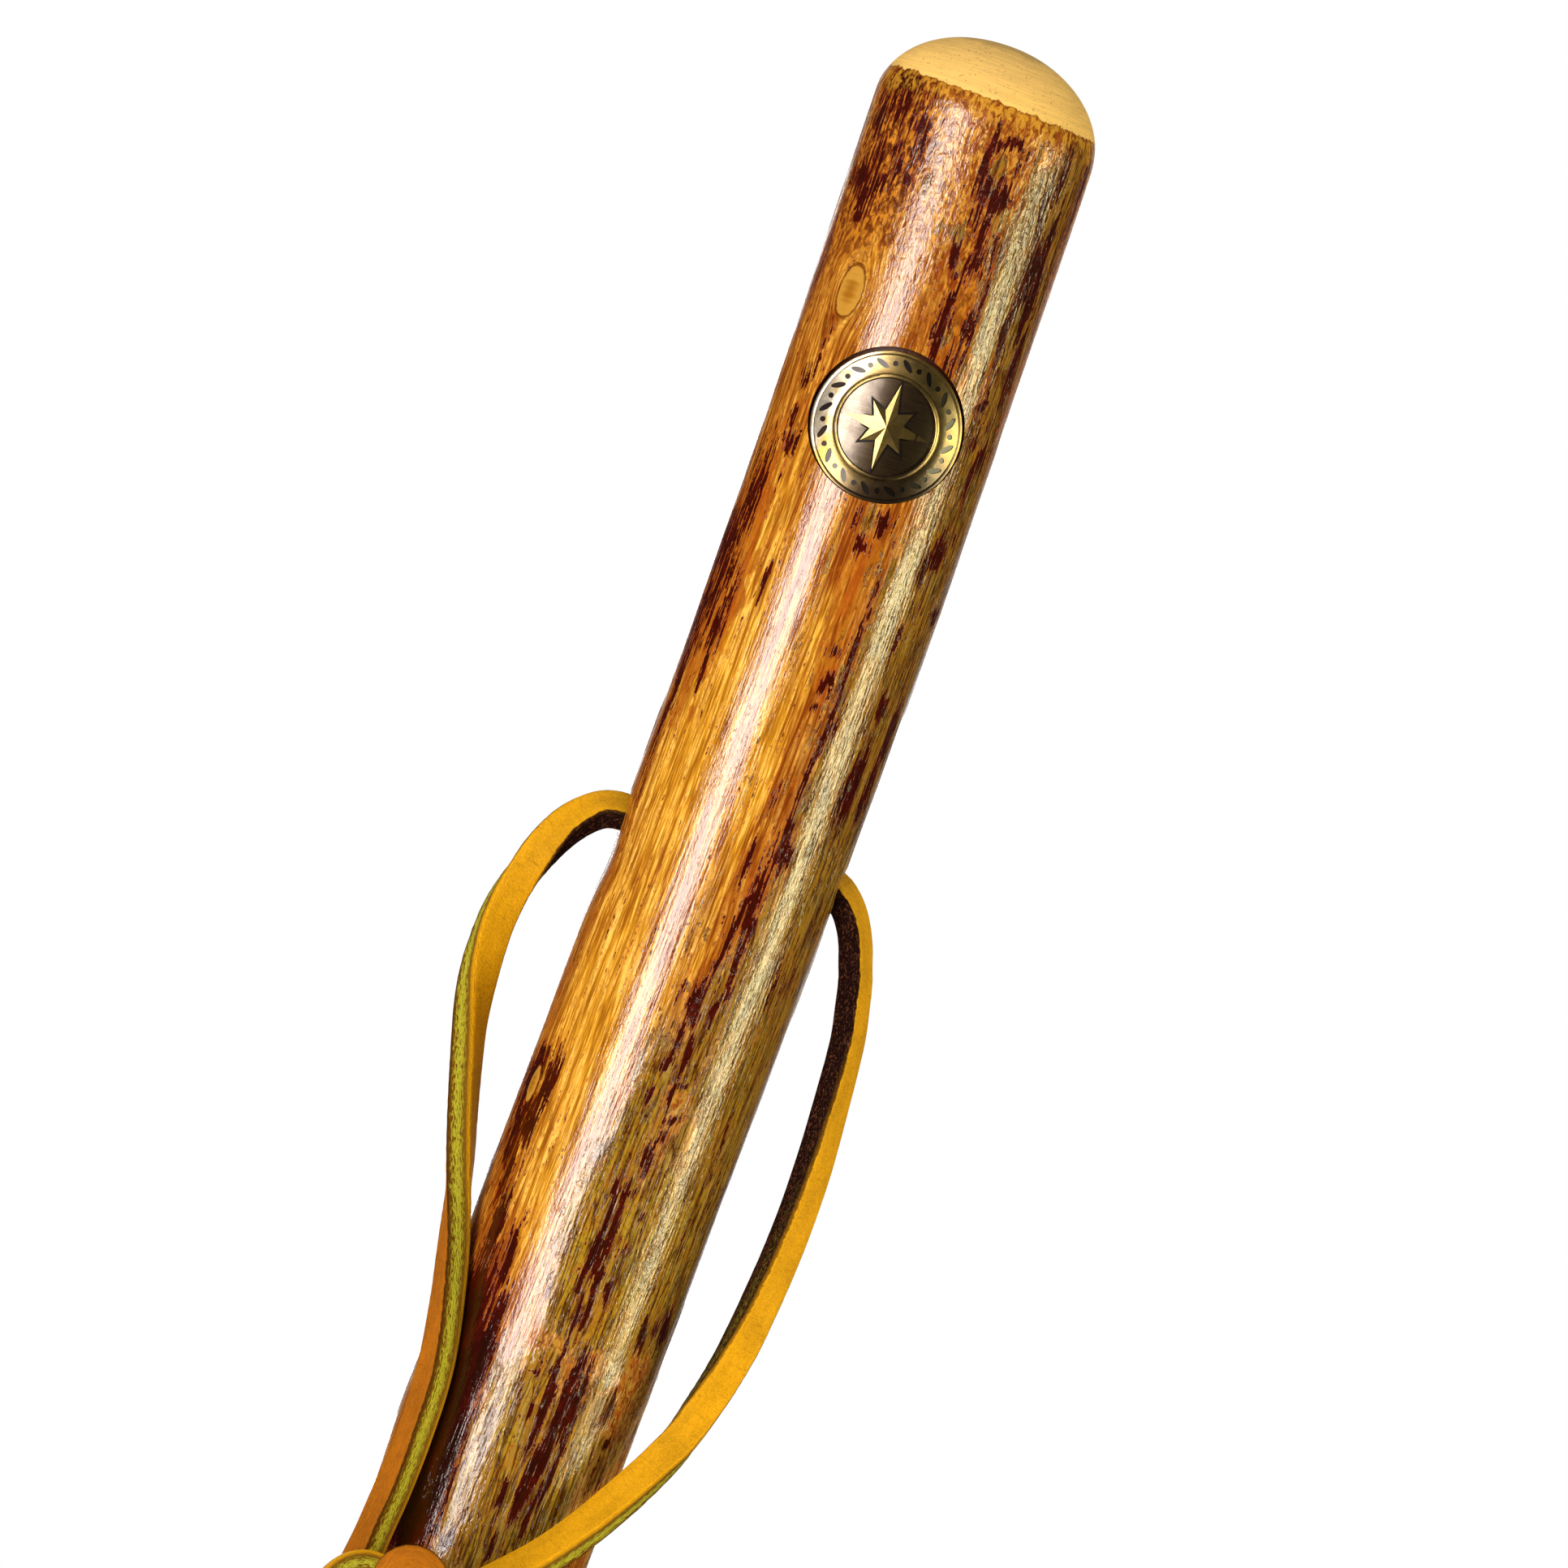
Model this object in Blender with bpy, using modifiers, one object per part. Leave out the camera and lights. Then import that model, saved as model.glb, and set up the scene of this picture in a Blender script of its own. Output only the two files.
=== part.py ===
"""Hiking staff: a natural hardwood shaft with a rounded head and a curved brass medallion let into it,
a leather wrist lace knotted through a cross bore, and a rubber ferrule with its washer on the foot.

Metres, +Z up along the staff. The origin is the centre of the ferrule's underside. The medallion faces -Y.
"""

import math

import bmesh
import bpy
from mathutils import Vector

# Overall
STAFF_LENGTH = 1.397
HEAD_DIAMETER = 0.035
FOOT_DIAMETER = 0.0252
SEAT_GAP = 0.0003
SHAFT_SIDES = 30
RING_SPACING = 0.0155

# How the branch grew: share of the staff's length, lean to the right, lean to the back, and how much
# thicker it is there than an even taper from foot to head
GROWTH = [
    (0.000, 0.0000, 0.0000, 0.0000),
    (0.023, 0.0000, 0.0000, 0.0000),
    (0.036, 0.0010, 0.0000, -0.0002),
    (0.059, 0.0040, -0.0004, -0.0002),
    (0.088, 0.0046, -0.0010, -0.0005),
    (0.123, 0.0053, -0.0014, 0.0004),
    (0.158, 0.0055, -0.0012, 0.0007),
    (0.193, 0.0053, -0.0004, -0.0005),
    (0.221, 0.0049, 0.0004, -0.0002),
    (0.251, 0.0030, 0.0010, 0.0001),
    (0.279, 0.0028, 0.0012, 0.0001),
    (0.318, 0.0046, 0.0010, 0.0002),
    (0.355, 0.0061, 0.0004, -0.0005),
    (0.395, 0.0057, -0.0006, -0.0003),
    (0.439, 0.0053, -0.0014, -0.0001),
    (0.491, 0.0062, -0.0018, -0.0002),
    (0.526, 0.0093, -0.0014, 0.0006),
    (0.559, 0.0118, -0.0004, 0.0006),
    (0.591, 0.0136, 0.0004, -0.0008),
    (0.621, 0.0135, 0.0010, 0.0009),
    (0.656, 0.0130, 0.0012, 0.0018),
    (0.714, 0.0117, 0.0008, 0.0008),
    (0.772, 0.0113, 0.0004, 0.0008),
    (0.801, 0.0110, 0.0002, 0.0009),
    (0.835, 0.0109, 0.0000, 0.0013),
    (0.868, 0.0116, 0.0000, 0.0013),
    (0.916, 0.0128, 0.0000, 0.0008),
    (0.950, 0.0129, 0.0000, 0.0005),
    (1.000, 0.0122, 0.0000, 0.0000),
]

# Swellings where a side branch was cut off: distance below the crown, degrees round from the front
# towards the right, height of the swelling, its half length along the staff, its half width in degrees
SWELLINGS = [
    (0.609, -24.0, 0.0017, 0.019, 38.0),
    (0.945, -26.0, 0.0013, 0.014, 34.0),
    (0.228, -50.0, 0.0007, 0.010, 60.0),
    (0.346, -20.0, 0.0005, 0.008, 26.0),
    (0.386, 45.0, 0.0005, 0.008, 26.0),
]

# Rounded head
CROWN_HEIGHT = 0.0122
CROWN_FLAT_DIAMETER = 0.006
CROWN_RINGS = 8

# Medallion, its glue and its recess
MEDALLION_BELOW_CROWN = 0.061
MEDALLION_RIGHT_OF_AXIS = 0.0004
MEDALLION_DIAMETER = 0.0229
MEDALLION_THICKNESS = 0.0015
MEDALLION_PROUD = 0.0001
MEDALLION_RIM_WIDTH = 0.0005
MEDALLION_BAND_DEPTH = 0.00025
MEDALLION_RING_DIAMETER = 0.0158
MEDALLION_RING_WIDTH = 0.0004
MEDALLION_FIELD_DEPTH = 0.0005
RECESS_CLEARANCE = 0.0004
GLUE_DIAMETER = 0.0200
GLUE_THICKNESS = 0.0004
DISC_SIDES = 40

# Cross bore and lace
BORE_BELOW_CROWN = 0.1275
BORE_DIAMETER = 0.0075
LACE_DIAMETER = 0.0046
LACE_PAST_BORE = 0.0006
KNOT_WIDTH = 0.024
KNOT_THICKNESS = 0.015
KNOT_HEIGHT = 0.022
LACE_STUB = 0.0010
ROUTE_SPACING = 0.0050

# Routes of the lace from the middle of its run in the bore: right, back and up, all in metres
LEFT_LEG_ROUTE = [
    (-0.0213, 0.0000, -0.0007),
    (-0.0244, -0.0003, -0.0033),
    (-0.0268, -0.0008, -0.0084),
    (-0.0287, -0.0015, -0.0144),
    (-0.0298, -0.0020, -0.0200),
    (-0.0300, -0.0025, -0.0253),
    (-0.0297, -0.0030, -0.0304),
    (-0.0290, -0.0035, -0.0353),
    (-0.0279, -0.0042, -0.0401),
    (-0.0253, -0.0055, -0.0495),
    (-0.0225, -0.0066, -0.0588),
    (-0.0199, -0.0082, -0.0682),
    (-0.0180, -0.0110, -0.0776),
    (-0.0167, -0.0134, -0.0873),
    (-0.0162, -0.0143, -0.0973),
    (-0.0160, -0.0150, -0.1060),
    (-0.0157, -0.0172, -0.1123),
]
RIGHT_LEG_ROUTE = [
    (0.0206, 0.0000, -0.0012),
    (0.0221, -0.0002, -0.0043),
    (0.0234, -0.0005, -0.0086),
    (0.0244, -0.0010, -0.0122),
    (0.0253, -0.0014, -0.0160),
    (0.0263, -0.0020, -0.0216),
    (0.0271, -0.0030, -0.0310),
    (0.0276, -0.0040, -0.0412),
    (0.0276, -0.0050, -0.0515),
    (0.0270, -0.0062, -0.0621),
    (0.0256, -0.0078, -0.0727),
    (0.0228, -0.0100, -0.0839),
    (0.0205, -0.0118, -0.0897),
    (0.0172, -0.0141, -0.0958),
    (0.0134, -0.0166, -0.1020),
    (0.0090, -0.0189, -0.1080),
    (0.0046, -0.0210, -0.1126),
]
KNOT_CENTRE = (-0.0095, -0.0252, -0.1235)
LONG_TAIL_ROUTE = [
    (-0.0146, -0.0253, -0.1396),
    (-0.0180, -0.0252, -0.1432),
    (-0.0240, -0.0249, -0.1456),
    (-0.0325, -0.0244, -0.1466),
    (-0.0430, -0.0240, -0.1466),
    (-0.0540, -0.0238, -0.1454),
]
SHORT_TAIL_ROUTE = [
    (-0.0054, -0.0253, -0.1392),
    (-0.0029, -0.0251, -0.1442),
    (0.0003, -0.0249, -0.1482),
]
# Where each strand meets the knot: direction from the knot's centre
LEFT_LEG_ENTRY = (-0.55, 0.42, 0.72)
RIGHT_LEG_ENTRY = (0.80, 0.15, 0.55)
LONG_TAIL_EXIT = (-0.30, 0.00, -0.95)
SHORT_TAIL_EXIT = (0.28, 0.00, -0.96)
LACE_SWING_LIMIT_DEG = 150.0

# Rubber ferrule and the washer on its floor
FERRULE_HEIGHT = 0.032
FERRULE_FLOOR = 0.0065
FERRULE_RIM_DIAMETER = 0.0286
FERRULE_FOOT_DIAMETER = 0.0334
FERRULE_TREAD_DIAMETER = 0.0264
FERRULE_FOOT_ROUND = 0.0050
FERRULE_RIM_ROUND = 0.0008
FERRULE_SIDES = 40
WASHER_DIAMETER = 0.0220
WASHER_HOLE_DIAMETER = 0.0060
WASHER_THICKNESS = 0.0012

WOOD = ((0.56, 0.27, 0.07), 0.28, 0.0)
BRASS = ((0.62, 0.50, 0.22), 0.32, 1.0)
GLUE = ((0.70, 0.62, 0.42), 0.50, 0.0)
LEATHER = ((0.70, 0.38, 0.07), 0.65, 0.0)
RUBBER = ((0.050, 0.028, 0.020), 0.75, 0.0)
STEEL = ((0.45, 0.45, 0.46), 0.35, 1.0)


def start_scene():
    """Removes the scene's objects and gives the parts and the cutters their collections."""
    for item in list(bpy.data.objects):
        bpy.data.objects.remove(item)
    made = []
    for name in ("hiking_staff", "cutters"):
        collection = bpy.data.collections.new(name)
        bpy.context.scene.collection.children.link(collection)
        made.append(collection)
    return made


def material(name, look):
    """A Principled material with the part's colour, roughness and metallic value."""
    colour, roughness, metallic = look
    made = bpy.data.materials.new(name)
    made.use_nodes = True
    shader = made.node_tree.nodes["Principled BSDF"]
    shader.inputs["Base Color"].default_value = (*colour, 1.0)
    shader.inputs["Roughness"].default_value = roughness
    shader.inputs["Metallic"].default_value = metallic
    made.diffuse_color = (*colour, 1.0)
    return made


def put(name, mesh, collection, finish=None):
    """A named object for a mesh, in its collection."""
    item = bpy.data.objects.new(name, mesh)
    collection.objects.link(item)
    if finish:
        mesh.materials.append(finish)
    return item


def smooth(mesh, angle=40.0):
    mesh.shade_smooth()
    mesh.set_sharp_from_angle(angle=math.radians(angle))


def between(rows, at):
    """The columns of a table after its first, read off a smooth curve through its rows."""
    at = min(max(at, rows[0][0]), rows[-1][0])
    i = next(k for k in range(len(rows) - 1) if at <= rows[k + 1][0])
    low, high = rows[i], rows[i + 1]
    before, after = rows[max(i - 1, 0)], rows[min(i + 2, len(rows) - 1)]
    span = high[0] - low[0]
    t = (at - low[0]) / span
    found = []
    for k in range(1, len(low)):
        leave = (high[k] - before[k]) / (high[0] - before[0]) * span
        arrive = (after[k] - low[k]) / (after[0] - low[0]) * span
        found.append(
            (2 * t**3 - 3 * t**2 + 1) * low[k]
            + (t**3 - 2 * t**2 + t) * leave
            + (3 * t**2 - 2 * t**3) * high[k]
            + (t**3 - t**2) * arrive
        )
    return found


def shaft_at(height):
    """The shaft's middle and radius at a height, without its rounded head."""
    share = height / STAFF_LENGTH
    right, back, thicker = between(GROWTH, share)
    even = FOOT_DIAMETER + (HEAD_DIAMETER - FOOT_DIAMETER) * share
    return Vector((right, back, height)), (even + thicker) / 2


def shaft_foot():
    """The height of the shaft's lower end, on the washer in the ferrule."""
    return FERRULE_FLOOR + SEAT_GAP + WASHER_THICKNESS + SEAT_GAP


def tube(name, points, radii, sides, collection):
    """A round tube along a polyline, as a curve with filled caps."""
    curve = bpy.data.curves.new(name, "CURVE")
    curve.dimensions = "3D"
    curve.bevel_depth = 1.0
    curve.bevel_resolution = sides // 2 - 2
    curve.use_fill_caps = True
    curve.resolution_u = 1
    spline = curve.splines.new("POLY")
    spline.points.add(len(points) - 1)
    for spot, place, radius in zip(spline.points, points, radii):
        spot.co = (*place, 1.0)
        spot.radius = radius
    item = bpy.data.objects.new(name, curve)
    collection.objects.link(item)
    return item


def as_mesh(item, name, collection):
    """A closed mesh from a curve or from an object with modifiers. The first object is removed."""
    bpy.context.view_layer.update()
    shape = bpy.data.meshes.new_from_object(item.evaluated_get(bpy.context.evaluated_depsgraph_get()))
    place = item.matrix_world.copy()
    bpy.data.objects.remove(item)
    work = bmesh.new()
    work.from_mesh(shape)
    bmesh.ops.remove_doubles(work, verts=work.verts, dist=0.00001)
    work.to_mesh(shape)
    work.free()
    shape.materials.clear()
    made = bpy.data.objects.new(name, shape)
    made.matrix_world = place
    collection.objects.link(made)
    return made


def turned(name, profile, sides, collection):
    """A turned solid about Z from a profile of (radius, height), outer side top to bottom.

    A profile that starts or ends on the axis closes there. One that doesn't is a ring and closes on itself.
    """
    mesh = bpy.data.meshes.new(name)
    links = [(i, i + 1) for i in range(len(profile) - 1)]
    if profile[0][0] > 0:
        links.append((len(profile) - 1, 0))
    mesh.from_pydata([(radius, 0.0, height) for radius, height in profile], links, [])
    item = bpy.data.objects.new(name, mesh)
    collection.objects.link(item)
    screw = item.modifiers.new("Turn", "SCREW")
    screw.axis = "Z"
    screw.steps = sides
    screw.render_steps = sides
    screw.use_merge_vertices = True
    screw.merge_threshold = 0.00001
    return as_mesh(item, name, collection)


def cutter(item):
    item.hide_render = True
    item.display_type = "WIRE"
    return item


def cut(item, tool, name):
    knife = item.modifiers.new(name, "BOOLEAN")
    knife.operation = "DIFFERENCE"
    knife.solver = "EXACT"
    knife.object = tool


def curved_disc(name, profile, reach, collection):
    """A turned disc laid on the shaft's front like a saddle.

    The profile's heights are measured outwards from the shaft's surface, and reach is the radius that the
    disc is bent to. The disc is turned about Z, tipped to face -Y and then bent round the shaft.
    """
    disc = turned(name, profile, DISC_SIDES, collection)
    centre, radius = shaft_at(STAFF_LENGTH - MEDALLION_BELOW_CROWN)
    for vertex in disc.data.vertices:
        across, along, outwards = vertex.co
        drop = reach - math.sqrt(reach**2 - (across + MEDALLION_RIGHT_OF_AXIS) ** 2)
        vertex.co = (across, drop - outwards, along)
    flip = bmesh.new()
    flip.from_mesh(disc.data)
    bmesh.ops.recalc_face_normals(flip, faces=flip.faces)
    flip.to_mesh(disc.data)
    flip.free()
    smooth(disc.data)
    disc.location = centre + Vector((MEDALLION_RIGHT_OF_AXIS, -radius, 0.0))
    return disc


def recess_floor():
    """How deep the recess is, under the medallion and its glue."""
    return MEDALLION_THICKNESS - MEDALLION_PROUD + GLUE_THICKNESS + 2 * SEAT_GAP


def make_recess_cutter(cutters):
    radius = shaft_at(STAFF_LENGTH - MEDALLION_BELOW_CROWN)[1]
    wide = MEDALLION_DIAMETER / 2 + RECESS_CLEARANCE
    rings = [wide * k / 6 for k in range(7)]
    top = [(ring, radius / 2) for ring in rings]
    floor = [(ring, -recess_floor()) for ring in reversed(rings)]
    return cutter(curved_disc("recess_cutter", top + floor, radius, cutters))


def make_bore_cutter(cutters):
    centre, radius = shaft_at(STAFF_LENGTH - BORE_BELOW_CROWN)
    work = bmesh.new()
    bmesh.ops.create_cone(
        work,
        cap_ends=True,
        segments=24,
        radius1=BORE_DIAMETER / 2,
        radius2=BORE_DIAMETER / 2,
        depth=4 * radius,
    )
    mesh = bpy.data.meshes.new("bore_cutter")
    work.to_mesh(mesh)
    work.free()
    item = put("bore_cutter", mesh, cutters)
    item.rotation_euler = (0.0, math.pi / 2, 0.0)
    item.location = centre
    return cutter(item)


def swelling_at(place, centre):
    """How far the knots push the shaft's surface out at a place."""
    out = place - centre
    round_from_front = math.degrees(math.atan2(out.x, -out.y))
    raised = 0.0
    for below, degrees, high, long, wide in SWELLINGS:
        along = (STAFF_LENGTH - below - place.z) / long
        turn = (round_from_front - degrees + 180.0) % 360.0 - 180.0
        raised += high * math.exp(-(along**2) - (turn / wide) ** 2)
    return raised


def make_shaft(parts, cutters, finish):
    """The branch: a crooked, tapering tube with a rounded head, swollen at its knots and bored through."""
    foot, shoulder = shaft_foot(), STAFF_LENGTH - CROWN_HEIGHT
    count = round((shoulder - foot) / RING_SPACING)
    heights = [foot + (shoulder - foot) * k / count for k in range(count + 1)]
    places = [shaft_at(height) for height in heights]
    points = [place for place, radius in places]
    radii = [radius for place, radius in places]
    top, widest = places[-1]
    flat = CROWN_FLAT_DIAMETER / 2
    for k in range(1, CROWN_RINGS + 1):
        lean = math.acos(flat / widest) * k / CROWN_RINGS
        rise = CROWN_HEIGHT * math.sin(lean) / math.sin(math.acos(flat / widest))
        points.append(top + Vector((0.0, 0.0, rise)))
        radii.append(widest * math.cos(lean))
    shaft = as_mesh(tube("shaft", points, radii, SHAFT_SIDES, parts), "shaft", parts)
    for vertex in shaft.data.vertices:
        centre = shaft_at(vertex.co.z)[0]
        out = vertex.co - centre
        out.z = 0.0
        if out.length > flat:
            vertex.co += out.normalized() * swelling_at(vertex.co, centre)
    smooth(shaft.data)
    shaft.data.materials.append(finish)
    cut(shaft, make_recess_cutter(cutters), "Medallion recess")
    cut(shaft, make_bore_cutter(cutters), "Lace bore")
    return shaft


def make_medallion(parts, finish):
    """The struck disc: a raised rim, a sunken band, a thin raised ring and a deeper field."""
    radius = shaft_at(STAFF_LENGTH - MEDALLION_BELOW_CROWN)[1]
    face, back = MEDALLION_PROUD, MEDALLION_PROUD - MEDALLION_THICKNESS
    band, field = face - MEDALLION_BAND_DEPTH, face - MEDALLION_FIELD_DEPTH
    rim, inside_rim = MEDALLION_DIAMETER / 2, MEDALLION_DIAMETER / 2 - MEDALLION_RIM_WIDTH
    ring, inside_ring = MEDALLION_RING_DIAMETER / 2, MEDALLION_RING_DIAMETER / 2 - MEDALLION_RING_WIDTH
    profile = [
        (0.0, field),
        (inside_ring / 2, field),
        (inside_ring, field),
        (inside_ring, face),
        (ring, face),
        (ring, band),
        (inside_rim, band),
        (inside_rim, face),
        (rim, face),
        (rim, back),
        (inside_ring, back),
        (inside_ring / 2, back),
        (0.0, back),
    ]
    disc = curved_disc("medallion", profile, radius, parts)
    disc.data.materials.append(finish)
    return disc


def make_adhesive(parts, finish):
    """The pad of set glue between the medallion's back and the recess floor."""
    radius = shaft_at(STAFF_LENGTH - MEDALLION_BELOW_CROWN)[1]
    top = MEDALLION_PROUD - MEDALLION_THICKNESS - SEAT_GAP
    rings = [GLUE_DIAMETER / 2 * k / 4 for k in range(5)]
    front = [(ring, top) for ring in rings]
    back = [(ring, top - GLUE_THICKNESS) for ring in reversed(rings)]
    pad = curved_disc("medallion_adhesive", front + back, radius, parts)
    pad.data.materials.append(finish)
    return pad


def lace_hinge():
    """The middle of the lace's run in the bore: the lace lies on the bore's lower side."""
    centre = shaft_at(STAFF_LENGTH - BORE_BELOW_CROWN)[0]
    centre.z -= BORE_DIAMETER / 2 - LACE_DIAMETER / 2 - SEAT_GAP
    return centre


def through(points, spacing):
    """Points at an even spacing on a smooth curve through a route's own points."""
    fine = []
    for i in range(len(points) - 1):
        before, low = points[max(i - 1, 0)], points[i]
        high, after = points[i + 1], points[min(i + 2, len(points) - 1)]
        for k in range(12):
            t = k / 12
            fine.append(
                0.5
                * (
                    2 * low
                    + (high - before) * t
                    + (2 * before - 5 * low + 4 * high - after) * t**2
                    + (3 * low - before - 3 * high + after) * t**3
                )
            )
    fine.append(points[-1])
    length = [0.0]
    for a, b in zip(fine, fine[1:]):
        length.append(length[-1] + (b - a).length)
    count = max(3, round(length[-1] / spacing))
    found = []
    for k in range(count + 1):
        want = length[-1] * k / count
        i = min(max(j for j, so_far in enumerate(length) if so_far <= want), len(fine) - 2)
        share = (want - length[i]) / (length[i + 1] - length[i])
        found.append(fine[i].lerp(fine[i + 1], share))
    return found


def square_end(place, out):
    """A strand's end and a point a little further out, so that its cut face is square to that way."""
    return [place + out * SEAT_GAP, place + out * (SEAT_GAP + LACE_STUB)]


def on_knot(direction):
    """A strand's square end on the knot's surface, in a direction from its centre."""
    way = Vector(direction).normalized()
    width, depth, height = KNOT_WIDTH / 2, KNOT_THICKNESS / 2, KNOT_HEIGHT / 2
    reach = 1 / math.sqrt((way.x / width) ** 2 + (way.y / depth) ** 2 + (way.z / height) ** 2)
    touch = way * reach
    out = Vector((touch.x / width**2, touch.y / depth**2, touch.z / height**2)).normalized()
    return square_end(Vector(KNOT_CENTRE) + touch, out)


def lace_parent(parts):
    """The empty on the lace's hinge line, which carries every stretch of the lace."""
    hinge = bpy.data.objects.new("lace_swing", None)
    hinge.empty_display_size = 0.02
    hinge.location = lace_hinge()
    parts.objects.link(hinge)
    return hinge


def lace_tube(name, start, route, end, parts, hinge, finish):
    """A stretch of lace from its start to its end, both square where they meet the next stretch.

    All are measured from the hinge, where the stretch has its own origin too.
    """
    middle = start[1:] + [Vector(point) for point in route] + end[1:]
    points = start[:1] + through(middle, ROUTE_SPACING) + end[:1]
    item = tube(name, points, [LACE_DIAMETER / 2] * len(points), 8, parts)
    item.data.materials.append(finish)
    item.parent = hinge
    return item


def make_lace(parts, finish):
    """The lace: its run through the bore, two legs, the knot that ties them and two cut tails."""
    hinge = lace_parent(parts)
    radius = shaft_at(STAFF_LENGTH - BORE_BELOW_CROWN)[1]
    right_end = Vector((radius + LACE_PAST_BORE, 0.0, 0.0))
    run = [-right_end, Vector(), right_end]
    left_start = square_end(-right_end, Vector((-1.0, 0.0, 0.0)))
    right_start = square_end(right_end, Vector((1.0, 0.0, 0.0)))
    left_end, right_end = on_knot(LEFT_LEG_ENTRY), on_knot(RIGHT_LEG_ENTRY)
    lace_tube("lace_bore_run", [], run, [], parts, hinge, finish)
    lace_tube("lace_left_leg", left_start, LEFT_LEG_ROUTE, left_end, parts, hinge, finish)
    lace_tube("lace_right_leg", right_start, RIGHT_LEG_ROUTE, right_end, parts, hinge, finish)
    long_start, short_start = on_knot(LONG_TAIL_EXIT), on_knot(SHORT_TAIL_EXIT)
    lace_tube("lace_long_tail", long_start, LONG_TAIL_ROUTE, [], parts, hinge, finish)
    lace_tube("lace_short_tail", short_start, SHORT_TAIL_ROUTE, [], parts, hinge, finish)
    make_knot(parts, hinge, finish)


def make_knot(parts, hinge, finish):
    """The knot's outer shape: a lump with its size and place."""
    work = bmesh.new()
    bmesh.ops.create_uvsphere(work, u_segments=24, v_segments=14, radius=1.0)
    size = Vector((KNOT_WIDTH, KNOT_THICKNESS, KNOT_HEIGHT)) / 2
    bmesh.ops.scale(work, vec=size, verts=work.verts)
    mesh = bpy.data.meshes.new("lace_knot")
    work.to_mesh(mesh)
    work.free()
    smooth(mesh)
    knot = put("lace_knot", mesh, parts, finish)
    knot.parent = hinge
    knot.location = KNOT_CENTRE


def make_ferrule(parts, finish):
    """The rubber tip: a flared cup with a rounded foot, its bore a close fit on the shaft."""
    rim, foot = FERRULE_RIM_DIAMETER / 2, FERRULE_FOOT_DIAMETER / 2
    tread = FERRULE_TREAD_DIAMETER / 2
    bore = max(shaft_at(height)[1] for height in (shaft_foot(), FERRULE_HEIGHT / 2, FERRULE_HEIGHT))
    lean = max(abs(shaft_at(FERRULE_HEIGHT)[0].x), abs(shaft_at(FERRULE_HEIGHT)[0].y))
    bore += lean + SEAT_GAP
    waist = FERRULE_HEIGHT * 0.45
    profile = [
        (rim - FERRULE_RIM_ROUND, FERRULE_HEIGHT),
        (rim, FERRULE_HEIGHT - FERRULE_RIM_ROUND),
        (rim + (foot - rim) * 0.45, waist),
        (foot, FERRULE_FOOT_ROUND),
    ]
    for k in range(1, 5):
        turn = math.pi / 2 * k / 5
        out = tread + (foot - tread) * math.cos(turn)
        profile.append((out, FERRULE_FOOT_ROUND * (1 - math.sin(turn))))
    profile += [
        (tread, 0.0),
        (0.0, 0.0),
    ]
    inside = [
        (0.0, FERRULE_FLOOR),
        (bore, FERRULE_FLOOR),
        (bore, FERRULE_HEIGHT),
    ]
    ferrule = turned_cup("ferrule", profile, inside, parts)
    ferrule.data.materials.append(finish)
    return ferrule


def turned_cup(name, outside, inside, collection):
    """A turned cup: its outside runs top to bottom, its inside from the floor's middle up to the rim."""
    mesh = bpy.data.meshes.new(name)
    profile = inside + outside
    links = [(i, i + 1) for i in range(len(profile) - 1)]
    mesh.from_pydata([(radius, 0.0, height) for radius, height in profile], links, [])
    item = bpy.data.objects.new(name, mesh)
    collection.objects.link(item)
    screw = item.modifiers.new("Turn", "SCREW")
    screw.axis = "Z"
    screw.steps = FERRULE_SIDES
    screw.render_steps = FERRULE_SIDES
    screw.use_merge_vertices = True
    screw.merge_threshold = 0.00001
    cup = as_mesh(item, name, collection)
    smooth(cup.data)
    return cup


def make_washer(parts, finish):
    """The steel washer that keeps the shaft's end from punching through the rubber."""
    low = FERRULE_FLOOR + SEAT_GAP
    high = low + WASHER_THICKNESS
    outer, inner = WASHER_DIAMETER / 2, WASHER_HOLE_DIAMETER / 2
    washer = turned("ferrule_washer", [(outer, high), (outer, low), (inner, low), (inner, high)], 32, parts)
    smooth(washer.data)
    washer.data.materials.append(finish)
    return washer


def main():
    parts, cutters = start_scene()
    make_shaft(parts, cutters, material("varnished_hardwood", WOOD))
    make_medallion(parts, material("antique_brass", BRASS))
    make_adhesive(parts, material("set_glue", GLUE))
    make_ferrule(parts, material("brown_rubber", RUBBER))
    make_washer(parts, material("zinc_plated_steel", STEEL))
    make_lace(parts, material("tan_leather", LEATHER))


main()
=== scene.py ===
"""Dresses the walking staff: the varnished branch, its brass medallion, the leather lace and the rubber tip.

Metres in the CAD's frame: +Z up along the staff, -Y its front. "Below the crown" is a distance down the
staff from its top, and degrees run from the front towards the right.
"""

import math

import bmesh
import bpy
import numpy as np
from bpy.props import FloatProperty, FloatVectorProperty, PointerProperty
from mathutils import Matrix, Vector, noise


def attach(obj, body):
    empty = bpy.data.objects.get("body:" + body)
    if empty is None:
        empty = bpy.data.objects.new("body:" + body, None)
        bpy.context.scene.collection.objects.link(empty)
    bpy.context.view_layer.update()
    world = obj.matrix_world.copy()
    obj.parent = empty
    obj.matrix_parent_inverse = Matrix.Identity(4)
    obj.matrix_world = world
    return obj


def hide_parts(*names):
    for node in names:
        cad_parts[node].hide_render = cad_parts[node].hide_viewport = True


bl_info = {
    "name": "Walking staff",
    "version": (1, 0, 0),
    "blender": (4, 5, 0),
    "location": "View3D > Sidebar > Walking staff",
    "description": "Builds the wood, medallion, lace and tip of a natural walking staff round its CAD model",
    "category": "Add Mesh",
}

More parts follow.
